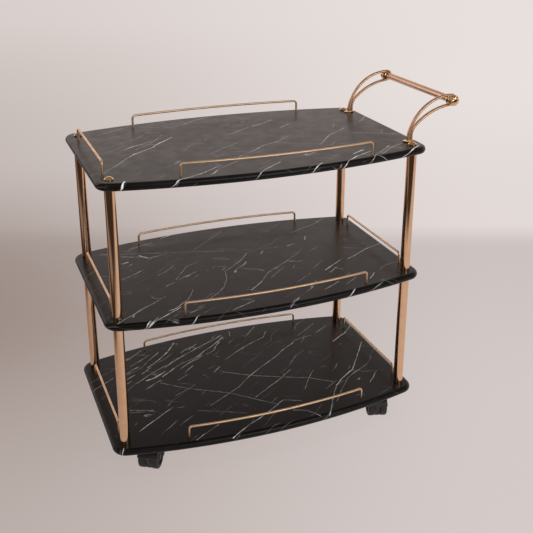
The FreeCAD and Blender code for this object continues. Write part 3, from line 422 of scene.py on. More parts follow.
def marble_finish(level, look):
    """Black marble board with white veins under a satin lacquer. The pattern follows the attribute
    spread, which carries on over the rounded edge as if the sheet were bent down."""
    finish = Finish(f"marble_{level}")
    spread = finish.node("ShaderNodeAttribute", {"attribute_name": "spread"}).outputs["Vector"]
    layer = (0.0, 0.0, LAYER_GAP * LEVELS.index(level))
    finish.place = finish.vector("ADD", finish.vector("SCALE", spread, scale=MM), layer)
    drift = spread
    for scale, reach in ((16.0, look.vein_sway), (90.0, look.vein_jitter), (420.0, look.vein_fray)):
        drift = finish.vector("ADD", drift, finish.wander(scale, reach))
    finish.drift = finish.vector("MULTIPLY", drift, (1.0, 1.0, 0.0))
    finish.thinning = finish.noise(scale=55.0, detail=2.0).step(0.32, 0.66, low=1.6, high=0.7)

    main = strongest([vein_strength(finish, *vein) for vein in VEINS[level]])
    for scale, detail, dim, full in ((38.0, 3.0, 0.36, 0.6), (210.0, 2.0, 0.3, 0.55)):
        main = main * finish.noise(scale, detail, roughness=0.6).step(dim, full, low=0.55)

    lean = math.radians(look.vein_lean)
    hair = hairlines(finish, spacing=0.024, turn=-lean, seed=0.0)
    cross = hairlines(finish, spacing=0.06, turn=0.75 * lean, seed=3.0) * 0.5
    crowd = strongest([finish.measure("DISTANCE", finish.drift, (x, y, 0.0))
                       .step(radius * CROWD_SIDE, radius * CROWD_CORE)
                       for x, y, radius in CROWDS[level]])
    fine = hair.maximum(cross) * crowd.step(0.0, 1.0, look.hair_strength, look.crowd_strength)
    veins = main.maximum(fine)

    stretched = finish.mapped((0.5, 1.3, 1.0), -lean)
    cloud = finish.noise(scale=17.0, detail=5.0, roughness=0.6, place=stretched).step(0.34, 0.74)
    ground = finish.blend(cloud, look.ground, look.cloud)
    sheen = finish.noise(scale=30.0, detail=4.0).step(
        0.3, 0.7, look.roughness - look.patchiness, look.roughness + look.patchiness)
    return finish.shade({
        "Base Color": finish.blend(veins, ground, look.vein),
        "Roughness": sheen + veins * 0.05,
        "IOR": look.ior,
        "Normal": finish.bump(finish.noise(scale=900.0, detail=2.0), 0.01 * MM),
    })


def rose_gold_finish(name, metal, roughness, colour, lengthwise=None, wave=0.0):
    """Polished coating: a metal with faint clouding in colour and gloss. Where a stretch lengthwise
    is given, fine drawing lines run along the piece, with soft waves of a depth in metres."""
    finish = Finish(name)
    cloud = finish.noise(scale=45.0).step(0.35, 0.7)
    sockets = {
        "Base Color": finish.blend(cloud, tuple(colour), scaled(colour, metal.shade)),
        "Metallic": 1.0,
    }
    if lengthwise:
        place = finish.mapped(lengthwise)
        lines = finish.noise(scale=520.0, roughness=0.6, place=place)
        waves = finish.noise(scale=190.0, detail=1.0, place=place)
        sockets["Roughness"] = lines.step(0.3, 0.7, roughness * 0.75, roughness * 1.3)
        sockets["Normal"] = finish.bump(waves + lines * 0.15, wave)
    else:
        sockets["Roughness"] = cloud.step(0.0, 1.0, roughness * 0.9, roughness * 1.1)
    return finish.shade(sockets)


def nylon_finish(name, nylon, roughness, colour):
    """Moulded black nylon with a fine spark-eroded grain and slight scuffing."""
    finish = Finish(name)
    scuff = finish.noise(scale=70.0, detail=4.0, roughness=0.6).step(0.45, 0.75)
    grain = finish.noise(scale=1400.0, detail=2.0, roughness=0.6)
    worn = tuple(channel + nylon.scuff for channel in tuple(colour)[:3])
    return finish.shade({
        "Base Color": finish.blend(scuff, tuple(colour), worn),
        "Roughness": grain.step(0.3, 0.7, roughness - 0.06, roughness + 0.08),
        "IOR": 1.45,
        "Normal": finish.bump(grain, nylon.grain_depth),
    })


def zinc_finish(name, metal):
    """Zinc-plated steel with a mottled passivation layer."""
    finish = Finish(name)
    mottle = finish.noise(scale=240.0, detail=4.0, roughness=0.6).step(0.35, 0.7)
    return finish.shade({
        "Base Color": finish.blend(mottle, tuple(metal.zinc), tuple(metal.zinc_pale)),
        "Metallic": 1.0,
        "Roughness": mottle.step(0.0, 1.0, 0.28, 0.42),
    })


def full_turn(count):
    """Angles once round, the last one short of the first."""
    return np.linspace(0.0, 2 * np.pi, count, endpoint=False)


def unit(vectors):
    """Vectors of length one, along the last axis."""
    return vectors / np.linalg.norm(vectors, axis=-1, keepdims=True)


def swept(path, outline, aside):
    """An outline carried along a path. Square to the path, the outline's first coordinate goes
    along the direction aside and its second along path x aside. Each end closes in a pole."""
    along = unit(np.gradient(path, axis=0))
    aside = unit(aside - along * (along @ np.asarray(aside, float))[:, None])
    across = np.cross(along, aside)
    outline = np.broadcast_to(outline, (len(path), *np.shape(outline)[-2:]))
    rings = path[:, None] + outline[..., :1] * aside[:, None] + outline[..., 1:] * across[:, None]
    poles = np.repeat(path[[0, -1], None], rings.shape[1], axis=1)
    return np.concatenate([poles[:1], rings, poles[1:]])


def turned(profile, centre, axis, columns=48, ripple=1.0):
    """A profile of radius and height carried once round an axis through a centre. The radius may
    be scaled by a ripple for each row and column."""
    radius, height = np.asarray(profile, float).T
    axis = unit(np.asarray(axis, float))
    side = unit(np.cross(axis, np.eye(3)[np.abs(axis).argmin()]))
    angle = full_turn(columns)[:, None]
    spokes = np.cos(angle) * side + np.sin(angle) * np.cross(axis, side)
    reach = radius[:, None] * np.broadcast_to(ripple, (len(radius), columns))
    return np.asarray(centre) + height[:, None, None] * axis + reach[..., None] * spokes


def oval(width, depth, columns=24, fullness=1.0):
    """Closed oval of half width and half depth; a fullness under 1 squares it."""
    angle = full_turn(columns)
    corner = [np.sign(wave) * np.abs(wave) ** fullness for wave in (np.cos(angle), np.sin(angle))]
    return np.stack([width * corner[0], depth * corner[1]], axis=-1)


def slab(outline, normals, low, high, edge, rim=0.0008):
    """A flat board: rings from the middle of its upper face out to the outline, round the edge by
    a quarter circle of radius edge, down, round again and back to the middle. A ring just inside
    the edge, by rim, keeps the faces flat. Also gives each point's place on a sheet bent down over
    the edge: the plan position, which goes on growing outwards from the upper edge."""
    turn = np.linspace(0.0, np.pi / 2, 7)
    inset = edge * (1 - np.sin(turn))
    drop = edge * (1 - np.cos(turn))
    rows, plans = [], []
    inner = outline - normals * edge
    flat = inner - normals * rim
    depth = high - low
    for share in (0.0, 0.5, 1.0):
        rows.append((flat * share, high))
        plans.append(flat * share)
    for gap, fall, angle in zip(inset, drop, turn):
        rows.append((outline - normals * gap, high - fall))
        plans.append(inner + normals * edge * angle)
    side = edge * np.pi / 2 + depth - 2 * edge
    for gap, fall, angle in zip(inset[::-1], drop[::-1], turn):
        rows.append((outline - normals * gap, low + fall))
        plans.append(inner + normals * (side + edge * angle))
    for share in (1.0, 0.5, 0.0):
        rows.append((flat * share, low))
        plans.append(flat * share)
    grid = np.stack([np.column_stack([plan, np.full(len(plan), height)]) for plan, height in rows])
    spread = np.stack([np.column_stack([plan, np.zeros(len(plan))]) for plan in plans])
    return grid, spread


def grid_faces(grid):
    """Vertices and faces of a grid whose rows close on themselves. A row that falls on one point
    becomes a pole with triangles, and a last row like the first joins up with it. Faces point
    outwards: the order turns round where the enclosed volume comes out negative."""
    rows, columns = grid.shape[:2]
    index = np.arange(rows * columns).reshape(rows, columns)
    pole = np.ptp(grid, axis=1).max(axis=1) < SAME_PLACE
    index[pole] = index[pole][:, :1]
    if np.allclose(grid[0], grid[-1], atol=SAME_PLACE) and not pole[0]:
        index[-1] = index[0]
    used, index = np.unique(index, return_inverse=True)
    index = index.reshape(rows, columns)
    points = grid.reshape(-1, 3)[used]
    below, above = index[:-1], index[1:]
    quads = np.stack([below, np.roll(below, -1, 1), np.roll(above, -1, 1), above], axis=-1)
    quads = quads.reshape(-1, 4)
    first, second, third, fourth = (points[quads[:, k]] - points[0] for k in range(4))
    volume = np.sum(first * (np.cross(second, third) + np.cross(third, fourth)))
    low, high = quads[:, 0] == quads[:, 1], quads[:, 2] == quads[:, 3]
    kinds = [quads[~low & ~high], quads[low & ~high][:, 1:], quads[high & ~low][:, :3]]
    order = -1 if volume < 0 else 1
    return points, [kind[:, ::order] for kind in kinds], used


def add_piece(name, grids, material, nodes, body="frame", spread=None, accent=None):
    """One smooth mesh from closed grids, which stands for CAD nodes and rides on a body. An accent
    is a second material with grids of its own. Only a piece of one grid has a spread."""
    points, faces, count = [], [], 0
    other, extra = accent or (None, [])
    plain = 0
    for number, grid in enumerate([*grids, *extra]):
        plain = len(faces) if number == len(grids) else plain
        corners, kinds, used = grid_faces(grid)
        points.append(corners)
        faces += [face for kind in kinds for face in (kind + count).tolist()]
        count += len(corners)
    mesh = bpy.data.meshes.new(name)
    mesh.from_pydata(np.concatenate(points).tolist(), [], faces)
    mesh.shade_smooth()
    mesh.set_sharp_from_angle(angle=SHARP_EDGE)
    if spread is not None:
        plan = mesh.attributes.new("spread", "FLOAT_VECTOR", "POINT")
        plan.data.foreach_set("vector", (spread.reshape(-1, 3)[used] / MM).ravel())
    mesh.materials.append(material)
    if other is not None:
        mesh.materials.append(other)
        mesh.polygons.foreach_set("material_index", np.arange(len(faces)) >= plain)
    piece = bpy.data.objects.new(name, mesh)
    bpy.context.scene.collection.objects.link(piece)
    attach(piece, body)
    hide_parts(*nodes)


def whole_plan(quarter):
    """A quarter of a closed outline mirrored to the whole, each meeting point kept once."""
    return np.concatenate([quarter, (quarter * (-1, 1))[::-1][1:], (quarter * (-1, -1))[1:],
                           (quarter * (1, -1))[::-1][1:-1]])


def shelf_outline(shape):
    """Points and outward normals of a shelf's plan. A quarter of it is an end line, a corner arc
    and a wide bow, where the corner's centre lies bow radius minus corner radius from the bow's
    centre."""
    length, width = (SHELF_HIGH - SHELF_LOW)[:2] / 2
    bow, corner = shape.shelf_bow, shape.shelf_corner
    bow_y = width - bow
    corner_x = length - corner
    corner_y = bow_y + math.sqrt((bow - corner) ** 2 - corner_x ** 2)
    meet = math.atan2(corner_y - bow_y, corner_x)
    on_bow = np.linspace(meet, np.pi / 2, 26)[1:]
    angle = np.concatenate([[0.0], np.linspace(0.0, meet, 14), on_bow])
    normal = np.column_stack([np.cos(angle), np.sin(angle)])
    point = np.where((angle <= meet)[:, None], (corner_x, corner_y) + corner * normal,
                     (0.0, bow_y) + bow * normal)
    point[0] = (length, 0.0)
    return whole_plan(point), whole_plan(normal)


def post_grid(node, shape):
    """A plain round tube with softened rims: radius against height, turned about Z."""
    low, high = box_of(node)
    radius, rim = (high[0] - low[0]) / 2, shape.post_rim
    profile = [(0, low[2]), (radius - rim, low[2]), (radius, low[2] + rim),
               (radius, high[2] - rim), (radius - rim, high[2]), (0, high[2])]
    middle = (low + high) / 2
    return turned(profile, (middle[0], middle[1], 0.0), (0, 0, 1), 64)


def dome_grids(shape):
    """Four screw heads: a softened foot, an upright rim, then a circle's arc up to the axis, turned
    about Z."""
    low, high = box_of("top_cap_screws")
    radius, rim, foot = shape.dome_radius, shape.dome_rim, shape.dome_foot
    rise = high[2] - TOP_TOP - rim
    ball = (radius ** 2 + rise ** 2) / (2 * rise)
    lean = np.linspace(math.asin(radius / ball), 0.0, 14)
    dome = np.column_stack([ball * np.sin(lean), TOP_TOP + rim + rise - ball * (1 - np.cos(lean))])
    seat = [(0.0, TOP_TOP), (radius - foot, TOP_TOP), (radius, TOP_TOP + foot)]
    profile = np.concatenate([seat, dome])
    return [turned(profile, (x, y, 0.0), (0, 0, 1)) for x in (low[0] + radius, high[0] - radius)
            for y in (low[1] + radius, high[1] - radius)]


def rail_grid(node, shape):
    """A round wire swept up one leg, round a quarter circle, along the bar and down again. Across
    the bar the wire bows outwards by a parabola of its place along it."""
    low, high = box_of(node)
    wire, bend = shape.wire_radius, shape.wire_bend
    run = int(np.argmax((high - low)[:2]))
    start, end, top = low[run] + wire, high[run] - wire, high[2] - wire
    turn = np.linspace(0.0, np.pi / 2, 8)
    reach = np.concatenate([[0.0, 0.0], bend * (1 - np.cos(turn))[1:]])
    climb = np.concatenate([[low[2] + wire, top - bend], top - bend + bend * np.sin(turn)[1:]])
    bar = np.linspace(start + bend, end - bend, 30)[1:-1]
    path = np.zeros((2 * len(reach) + len(bar), 3))
    path[:, run] = np.concatenate([start + reach, bar, (end - reach)[::-1]])
    path[:, 2] = np.concatenate([climb, np.full(len(bar), top), climb[::-1]])
    aside = 1 - run
    outward = np.sign(low[aside] + high[aside])
    leg = high[aside] - wire if outward < 0 else low[aside] + wire
    share = (path[:, run] - start) / (end - start)
    path[:, aside] = leg + outward * (high[aside] - low[aside] - 2 * wire) * 4 * share * (1 - share)
    return swept(path, oval(wire, wire, 20), np.eye(3)[aside])


def circle_run(arc, offset, count):
    """Points along a circle that is given as centre, radius, first and last angle in degrees, with
    the radius changed by an offset."""
    centre, radius, start, end = arc
    angle = np.radians(np.linspace(start, end, count))
    return np.asarray(centre) + (radius + offset) * np.column_stack([np.cos(angle), np.sin(angle)])


def arm_grids(node):
    """A forked arm in side view: two branches of rounded section that rise side by side and part
    along circles tangent to the eye, and a web between their feet. Also gives its gold parts: the
    ball-shaped eye turned about Y and the flat flange under the foot."""
    low, high = box_of(node)
    # Sizes in millimetres. Places are in side view, from the middle of the foot.
    eye_place, eye_radius, eye_round = (100.0, 84.5), 13.5, 3.0
    ball_radius, ball_height, eye_back = 13.4, 12.0, 3.5
    half_wide, half_thick, half_foot, foot_height = 3.0, 4.2, 6.9, 1.0
    web_top, web_half_wide, web_half_thick = (1.8, 23.0), 2.6, 2.9
    flange_front, flange_back, flange_radius = 4.0, -9.0, 6.0
    flange_height, flange_edge, flange_rim = 3.0, 1.2, 0.2
    foot = np.array([high[0] - (eye_place[0] + eye_radius) * MM, (low[1] + high[1]) / 2, TOP_TOP])

    def branch(path, wide, thick, columns, fullness):
        flat = np.column_stack([path[:, 0], np.zeros(len(path)), path[:, 1]])
        section = oval(wide * MM, thick * MM, columns, fullness)
        return swept(foot + flat * MM, section, (1.0, 0.0, 0.0))

    heel, toe = half_wide - half_foot, half_foot - half_wide
    upper = np.concatenate([[(heel, foot_height), (heel, 4.5)],
                            circle_run(ARM_BACK, -half_wide, 44)])
    lower = np.concatenate([[(toe, foot_height), (toe, 7.0)],
                            circle_run(ARM_BELLY, half_wide, 16),
                            circle_run(ARM_TAIL, half_wide, 30)[1:]])
    branches = [branch(path, half_wide, half_thick, 28, 0.8) for path in (upper, lower)]
    web = np.linspace((0.0, foot_height), web_top, 8)
    branches.append(branch(web, web_half_wide, web_half_thick, 20, 1.0))

    turn = np.linspace(0.0, np.pi / 2, 7)
    rim = np.column_stack([eye_radius - eye_round + eye_round * np.sin(turn),
                           eye_round * np.cos(turn)])
    ball = np.column_stack([ball_radius * np.sin(turn), ball_height * np.cos(turn)])
    rim_back = (rim * (1, -1))[::-1] - (0.0, eye_back - eye_round)
    eye = np.concatenate([ball[:-1], rim[-1:], rim_back, [(0.0, -eye_back)]]) * MM
    inward = (0, -np.sign(foot[1]), 0)
    gold = [turned(eye, foot + np.array([eye_place[0], 0.0, eye_place[1]]) * MM, inward)]

    angle = np.linspace(-np.pi / 2, np.pi / 2, 13)
    circle = np.column_stack([np.cos(angle), np.sin(angle)])
    outline = np.concatenate([(flange_front, 0.0) + flange_radius * circle,
                              (flange_back, 0.0) - flange_radius * circle]) * MM
    flange, _ = slab(outline, np.concatenate([circle, -circle]), 0.0, flange_height * MM,
                     flange_edge * MM, flange_rim * MM)
    gold.append(flange + foot)
    return branches, gold


def bar_grid():
    """A bar along Y whose radius dips by the fourth power of a cosine at each of its grooves."""
    grooves, groove_depth = 24, 0.06 * MM
    low, high = box_of("handle_bar")
    middle = (low + high) / 2
    angle = full_turn(grooves * 8)
    dip = groove_depth * np.maximum(np.cos(grooves * angle), 0.0) ** 4
    radius = (high[2] - low[2]) / 2 - dip
    outline = np.column_stack([radius * np.cos(angle), radius * np.sin(angle)])
    path = np.linspace((middle[0], low[1], middle[2]), (middle[0], high[1], middle[2]), 6)
    return swept(path, outline, (1.0, 0.0, 0.0))


def end_cap_grid(side):
    """A bead, half a sine wave of radius along the axis, and a blunt dome beyond it, a quarter of a
    superellipse whose radius ripples in petals that fade towards the rim and the middle."""
    # Sizes in millimetres.
    neck_radius, bead_swell, bead_half, dome_height = 11.2, 1.3, 4.0, 6.0
    petals, petal_depth, columns = 9, 0.09, 144
    outward = -1 if side == "front" else 1
    low, high = box_of(f"handle_cap_{side}")
    middle = (low + high) / 2
    seat = high[1] if outward < 0 else low[1]
    wave = np.linspace(0.0, np.pi, 13)
    bead = np.column_stack([neck_radius + bead_swell * np.sin(wave),
                            bead_half * (1 - np.cos(wave))])
    lean = np.linspace(0.0, np.pi / 2, 18)[1:]
    dome = np.column_stack([neck_radius * np.cos(lean) ** 0.8,
                            2 * bead_half + dome_height * np.sin(lean) ** 0.9])
    dome[-1, 0] = 0.0
    profile = np.concatenate([[(0.0, 0.0)], bead, dome]) * MM
    fade = np.zeros(len(profile))
    fade[-len(dome):] = np.sin(np.pi * np.linspace(0.0, 1.0, len(dome))) ** 0.7
    ripple = 1 + petal_depth * fade[:, None] * np.cos(petals * full_turn(columns))
    return turned(profile, (middle[0], seat, middle[2]), (0, outward, 0), columns, ripple)


def wheel_grid(corner, side):
    """A wheel's section turned about its axle: a bore, a flat inner face, a tread between two
    quarter rounds, and a dish with a raised ring in the outer face."""
    joint = JOINTS[f"wheel_{corner}_{side}"]
    sign = 1.0 if side == "left" else -1.0
    # Millimetres: radii, and places along the axle from the middle of the caster.
    bore, tread, edge = 3.05, 25.0, 4.0
    inner_face, dish, ring, outer_face = 6.0, 19.0, 19.6, 22.0
    quarter = np.linspace(0.0, np.pi / 2, 7)
    round_centre = tread - edge
    inner = np.column_stack([round_centre + edge * np.sin(quarter),
                             inner_face + edge - edge * np.cos(quarter)])
    outer = np.column_stack([round_centre + edge * np.cos(quarter),
                             outer_face - edge + edge * np.sin(quarter)])
    hollow = [(16.0, outer_face), (15.0, ring), (13.0, dish), (8.6, dish), (8.0, ring), (6.6, ring),
              (6.0, dish), (bore, dish), (bore, inner_face)]
    profile = np.concatenate([[(bore, inner_face)], inner, outer, hollow]) * MM
    return turned(profile, joint["pos_m"], np.array(joint["axis"]) * sign, 64)


def dress(node, material):
    """Gives a CAD node its material."""
    piece = NODES[node]
    piece.data.materials.clear()
    piece.data.materials.append(material)


def nodes_named(*starts):
    """CAD nodes whose names start in one of these ways."""
    return [name for name in sorted(NODES) if name.startswith(starts)]


def number_setting(name, description, default, subtype="NONE"):
    """A number that a user may change."""
    return FloatProperty(name=name, description=description, subtype=subtype, default=default)


def length_setting(name, description, default):
    """A length in metres."""
    return number_setting(name, description, default, "DISTANCE")


def share_setting(name, description, default):
    """A share from 0 to 1."""
    return number_setting(name, description, default, "FACTOR")


def angle_setting(name, description, default):
    """An angle, kept in radians."""
    return number_setting(name, description, default, "ANGLE")


def colour_setting(name, description, default, subtype="COLOR"):
    """Three numbers that a user may change, a colour unless the subtype says otherwise."""
    return FloatVectorProperty(name=name, description=description, subtype=subtype, default=default)


def place_setting(name, description, default):
    """A place in metres."""
    return colour_setting(name, description, default, "TRANSLATION")


class TrolleyShape(bpy.types.PropertyGroup):
    """Sizes of the smooth pieces that aren't read from the frame."""
    shelf_bow: length_setting("Shelf bow", "Radius of a shelf's long sides", 1.5)
    shelf_corner: length_setting("Shelf corner", "Radius of a shelf's corners", 0.032)
    shelf_edge: length_setting("Shelf edge", "Rounding of a shelf's edge", 0.0075)
    post_rim: length_setting("Post rim", "Softened rim of a post", 0.0005)
    dome_radius: length_setting("Dome", "Radius of a cap screw's head", 0.00925)
    dome_rim: length_setting("Dome rim", "Upright rim of a cap screw's head", 0.0015)
    dome_foot: length_setting("Dome foot", "Softened foot of a cap screw's head", 0.0004)
    wire_radius: length_setting("Wire", "Radius of the rails' wire", 0.0025)
    wire_bend: length_setting("Wire bend", "Radius of the rails' bends", 0.007)


class TrolleyMarble(bpy.types.PropertyGroup):
    """Look of the shelves."""
    ground: colour_setting("Ground", "Black between the veins", (0.0026, 0.0022, 0.002))
    cloud: colour_setting("Cloud", "Lighter clouds in the black", (0.006, 0.0051, 0.0047))
    vein: colour_setting("Vein", "Colour of the brightest veins", (0.88, 0.85, 0.83))
    vein_sway: number_setting("Vein sway", "How far a vein strays from its line, in mm", 4.0)
    vein_jitter: number_setting("Vein jitter", "Kinks along a vein, in mm", 3.0)
    vein_fray: number_setting("Vein fray", "Raggedness of a vein's sides, in mm", 1.3)
    vein_lean: number_setting("Vein lean", "Slope of the fine veins, in degrees", 36.0)
    hair_strength: number_setting("Fine veins", "Brightness of the fine veins", 0.13)
    crowd_strength: number_setting("Crowded veins", "Brightness of fine veins where they crowd",
                                   0.6)
    roughness: share_setting("Roughness", "Satin lacquer", 0.34)
    patchiness: number_setting("Patchiness", "How far the lacquer's roughness varies", 0.03)
    ior: number_setting("IOR", "Refractive index of the lacquer", 1.31)


class TrolleyMetal(bpy.types.PropertyGroup):
    """Look of the posts, rails, handle and hardware."""
    tube: colour_setting("Tube", "Rose gold of the posts", (0.86, 0.555, 0.35))
    arm: colour_setting("Arm", "Deeper rose gold of the arms", (0.7396, 0.4773, 0.301))
    wire: colour_setting("Wire", "Paler gold of the rails", (0.94, 0.66, 0.43))
    casting: colour_setting("Casting", "Gold of bosses and caps", (0.9, 0.6, 0.34))
    bar: colour_setting("Bar", "Satin rose gold of the bar", (0.86, 0.58, 0.43))
    zinc: colour_setting("Zinc", "Plated steel of hidden screws", (0.55, 0.55, 0.54))
    zinc_pale: colour_setting("Pale zinc", "Paler mottling of the plating", (0.72, 0.72, 0.7))
    shade: share_setting("Shade", "Depth of the clouding", 0.93)
    polish: share_setting("Polish", "Roughness of polished metal", 0.09)
    wire_polish: share_setting("Wire polish", "Roughness of the rails", 0.414)
    arm_polish: share_setting("Arm polish", "Roughness of the arms", 0.378)
    satin: share_setting("Satin", "Roughness of the bar", 0.3)
    bar_depth: length_setting("Bar lines", "Depth of the bar's drawing lines", 0.000001)
    wave_depth: length_setting("Waves", "Depth of the coating's waves", 0.00008)


class TrolleyNylon(bpy.types.PropertyGroup):
    """Look of the casters."""
    hood: colour_setting("Hood", "Black of the hoods", (0.014, 0.0125, 0.012))
    wheel: colour_setting("Wheel", "Black of the wheels", (0.017, 0.0155, 0.015))
    scuff: number_setting("Scuff", "How much lighter worn places are", 0.008)
    roughness: share_setting("Roughness", "Moulded surface", 0.48)
    wheel_roughness: share_setting("Wheel roughness", "Surface of the wheels", 0.54)
    axle_roughness: share_setting("Axle roughness", "Black coating of the axles", 0.38)
    grain_depth: length_setting("Grain", "Depth of the moulded grain", 0.00002)


class TrolleyStage(bpy.types.PropertyGroup):
    """Floor, light and camera. The camera's place is measured from the middle of the shelves and
    from the bottom shelf's upper face."""
    near: colour_setting("Near floor", "Floor in front of the trolley", (0.657, 0.592, 0.574))
    behind: colour_setting("Floor behind", "Floor just behind the trolley", (0.615, 0.552, 0.538))
    rise: colour_setting("Rise", "Paler sweep beyond the floor", (0.778, 0.713, 0.699))
    far: colour_setting("Far", "Upper part of the sweep", (0.848, 0.784, 0.764))
    # Painted shade: the colour that the floor's left side is darkened towards.
    left_shade: colour_setting("Dusk", "Dim left side of the room", (0.278, 0.208, 0.176))
    # Painted shade: the near-black the floor takes outside the lit part and near the camera, which
    # the metal mirrors as an unlit room.
    unlit_shade: colour_setting("Night", "Unlit room around the sweep", (0.046, 0.035, 0.03))
    wall: colour_setting("Wall", "Bright wall that the metal mirrors", (1.04, 0.9, 0.85))
    room: colour_setting("Room", "Dark room in front", (0.07, 0.062, 0.058))
    ceiling: colour_setting("Ceiling", "Room overhead", (0.22, 0.2, 0.19))
    edge: length_setting("Tone change", "Distance from the camera to the paler sweep", 2.87)
    show: share_setting("Evenness", "How far lamps and shadows are evened out on the floor", 0.93)
    camera: place_setting("Camera", "Place of the camera", (-0.618477, -1.701293, 1.100861))
    yaw: angle_setting("Yaw", "Turn of the view towards +X", math.radians(21.30))
    pitch: angle_setting("Pitch", "Downward tilt of the view", math.radians(19.79))
    lens: number_setting("Lens", "Focal length on a 36 mm sensor", 57.665)
    shift_x: number_setting("Shift X", "Sideways shift of the frame", 0.01002)
    shift_y: number_setting("Shift Y", "Upward shift of the frame", -0.12557)


class TROLLEY_OT_shelves(bpy.types.Operator):
    """Three marble boards with bowed sides and rounded edges"""
    bl_idname = "trolley.shelves"
    bl_label = "Shelves"

    def execute(self, context):
        scene = context.scene
        outline, normals = shelf_outline(scene.trolley_shape)
        for level in LEVELS:
            node = f"shelf_{level}"
            low, high = box_of(node)
            grid, spread = slab(outline, normals, low[2], high[2], scene.trolley_shape.shelf_edge)
            grid = grid + (SHELF_CENTRE[0], SHELF_CENTRE[1], 0.0)
            marble = marble_finish(level, scene.trolley_marble)
            add_piece(f"marble_{level}", [grid], marble, [node], spread=spread)
        return {"FINISHED"}


class TROLLEY_OT_posts(bpy.types.Operator):
    """Rose gold tubes and the domes above them"""
    bl_idname = "trolley.posts"
    bl_label = "Posts"

    def execute(self, context):
        shape, metal = context.scene.trolley_shape, context.scene.trolley_metal
        tube = rose_gold_finish("rose_gold_tube", metal, metal.polish, metal.tube, (1.0, 1.0, 0.02),
                                metal.wave_depth)
        cap = rose_gold_finish("rose_gold_cap", metal, metal.polish, metal.casting)
        for node in nodes_named("lower_post_", "upper_post_"):
            if not node.endswith("plugs"):
                add_piece(f"tube_{node}", [post_grid(node, shape)], tube, [node])
        add_piece("domes", dome_grids(shape), cap, ["top_cap_screws"])
        return {"FINISHED"}


class TROLLEY_OT_rails(bpy.types.Operator):
    """Bent rose gold wires around the shelves"""
    bl_idname = "trolley.rails"
    bl_label = "Rails"

    def execute(self, context):
        shape, metal = context.scene.trolley_shape, context.scene.trolley_metal
        wire = rose_gold_finish("rose_gold_wire", metal, metal.wire_polish, metal.wire)
        for node in nodes_named("rail_"):
            add_piece(f"wire_{node}", [rail_grid(node, shape)], wire, [node])
        return {"FINISHED"}


class TROLLEY_OT_handle(bpy.types.Operator):
    """Forked gold arms with their caps and the satin bar between them"""
    bl_idname = "trolley.handle"
    bl_label = "Handle"

    def execute(self, context):
        metal = context.scene.trolley_metal
        arm = rose_gold_finish("rose_gold_arm", metal, metal.arm_polish, metal.arm)
        casting = rose_gold_finish("rose_gold_casting", metal, metal.polish, metal.casting)
        bar = rose_gold_finish("satin_bar", metal, metal.satin, metal.bar, (1.0, 0.02, 1.0),
                               metal.bar_depth)
        for side in ("front", "back"):
            branches, gold = arm_grids(f"handle_arm_{side}")
            add_piece(f"arm_{side}", branches, arm, [f"handle_arm_{side}"],
                      accent=(casting, gold))
            add_piece(f"end_cap_{side}", [end_cap_grid(side)], casting,
                      [f"handle_cap_{side}"])
        add_piece("bar", [bar_grid()], bar, ["handle_bar"])
        return {"FINISHED"}


class TROLLEY_OT_casters(bpy.types.Operator):
    """Black nylon hoods and turned wheels"""
    bl_idname = "trolley.casters"
    bl_label = "Casters"

    def execute(self, context):
        nylon = context.scene.trolley_nylon
        hood = nylon_finish("hood_nylon", nylon, nylon.roughness, nylon.hood)
        wheel = nylon_finish("wheel_nylon", nylon, nylon.wheel_roughness, nylon.wheel)
        for body in JOINTS:
            if body.startswith("wheel_"):
                corner, side = body[len("wheel_"):].rsplit("_", 1)
                add_piece(f"tyre_{corner}_{side}", [wheel_grid(corner, side)], wheel,
                          [f"caster_{corner}_wheel_{side}"], body)
        for node in nodes_named("caster_"):
            if node.endswith("_hood"):
                dress(node, hood)
        return {"FINISHED"}


class TROLLEY_OT_hardware(bpy.types.Operator):
    """Zinc on screws and plates, black on axles and nylon on the post plugs"""
    bl_idname = "trolley.hardware"
    bl_label = "Hardware"

    def execute(self, context):
        zinc = zinc_finish("zinc_plate", context.scene.trolley_metal)
        nylon = context.scene.trolley_nylon
        plug = nylon_finish("plug_nylon", nylon, nylon.roughness, nylon.hood)
        black = nylon_finish("black_axle", nylon, nylon.axle_roughness, nylon.hood)
        for node in nodes_named("lower_post_plugs", "upper_post_plugs"):
            dress(node, plug)
        plated = nodes_named("joining_", "foot_", "handle_end_", "handle_arm_screws", "swivel_",
                             "caster_kingpins", "caster_plate_screws")
        for node in plated + [node for node in nodes_named("caster_") if node.endswith("_plate")]:
            dress(node, zinc)
        for node in nodes_named("caster_"):
            if node.endswith("_axle"):
                dress(node, black)
        return {"FINISHED"}


def view_axes(stage):
    """Level directions ahead of the camera and to its right."""
    ahead = (math.sin(stage.yaw), math.cos(stage.yaw), 0.0)
    return ahead, (ahead[1], -ahead[0], 0.0)


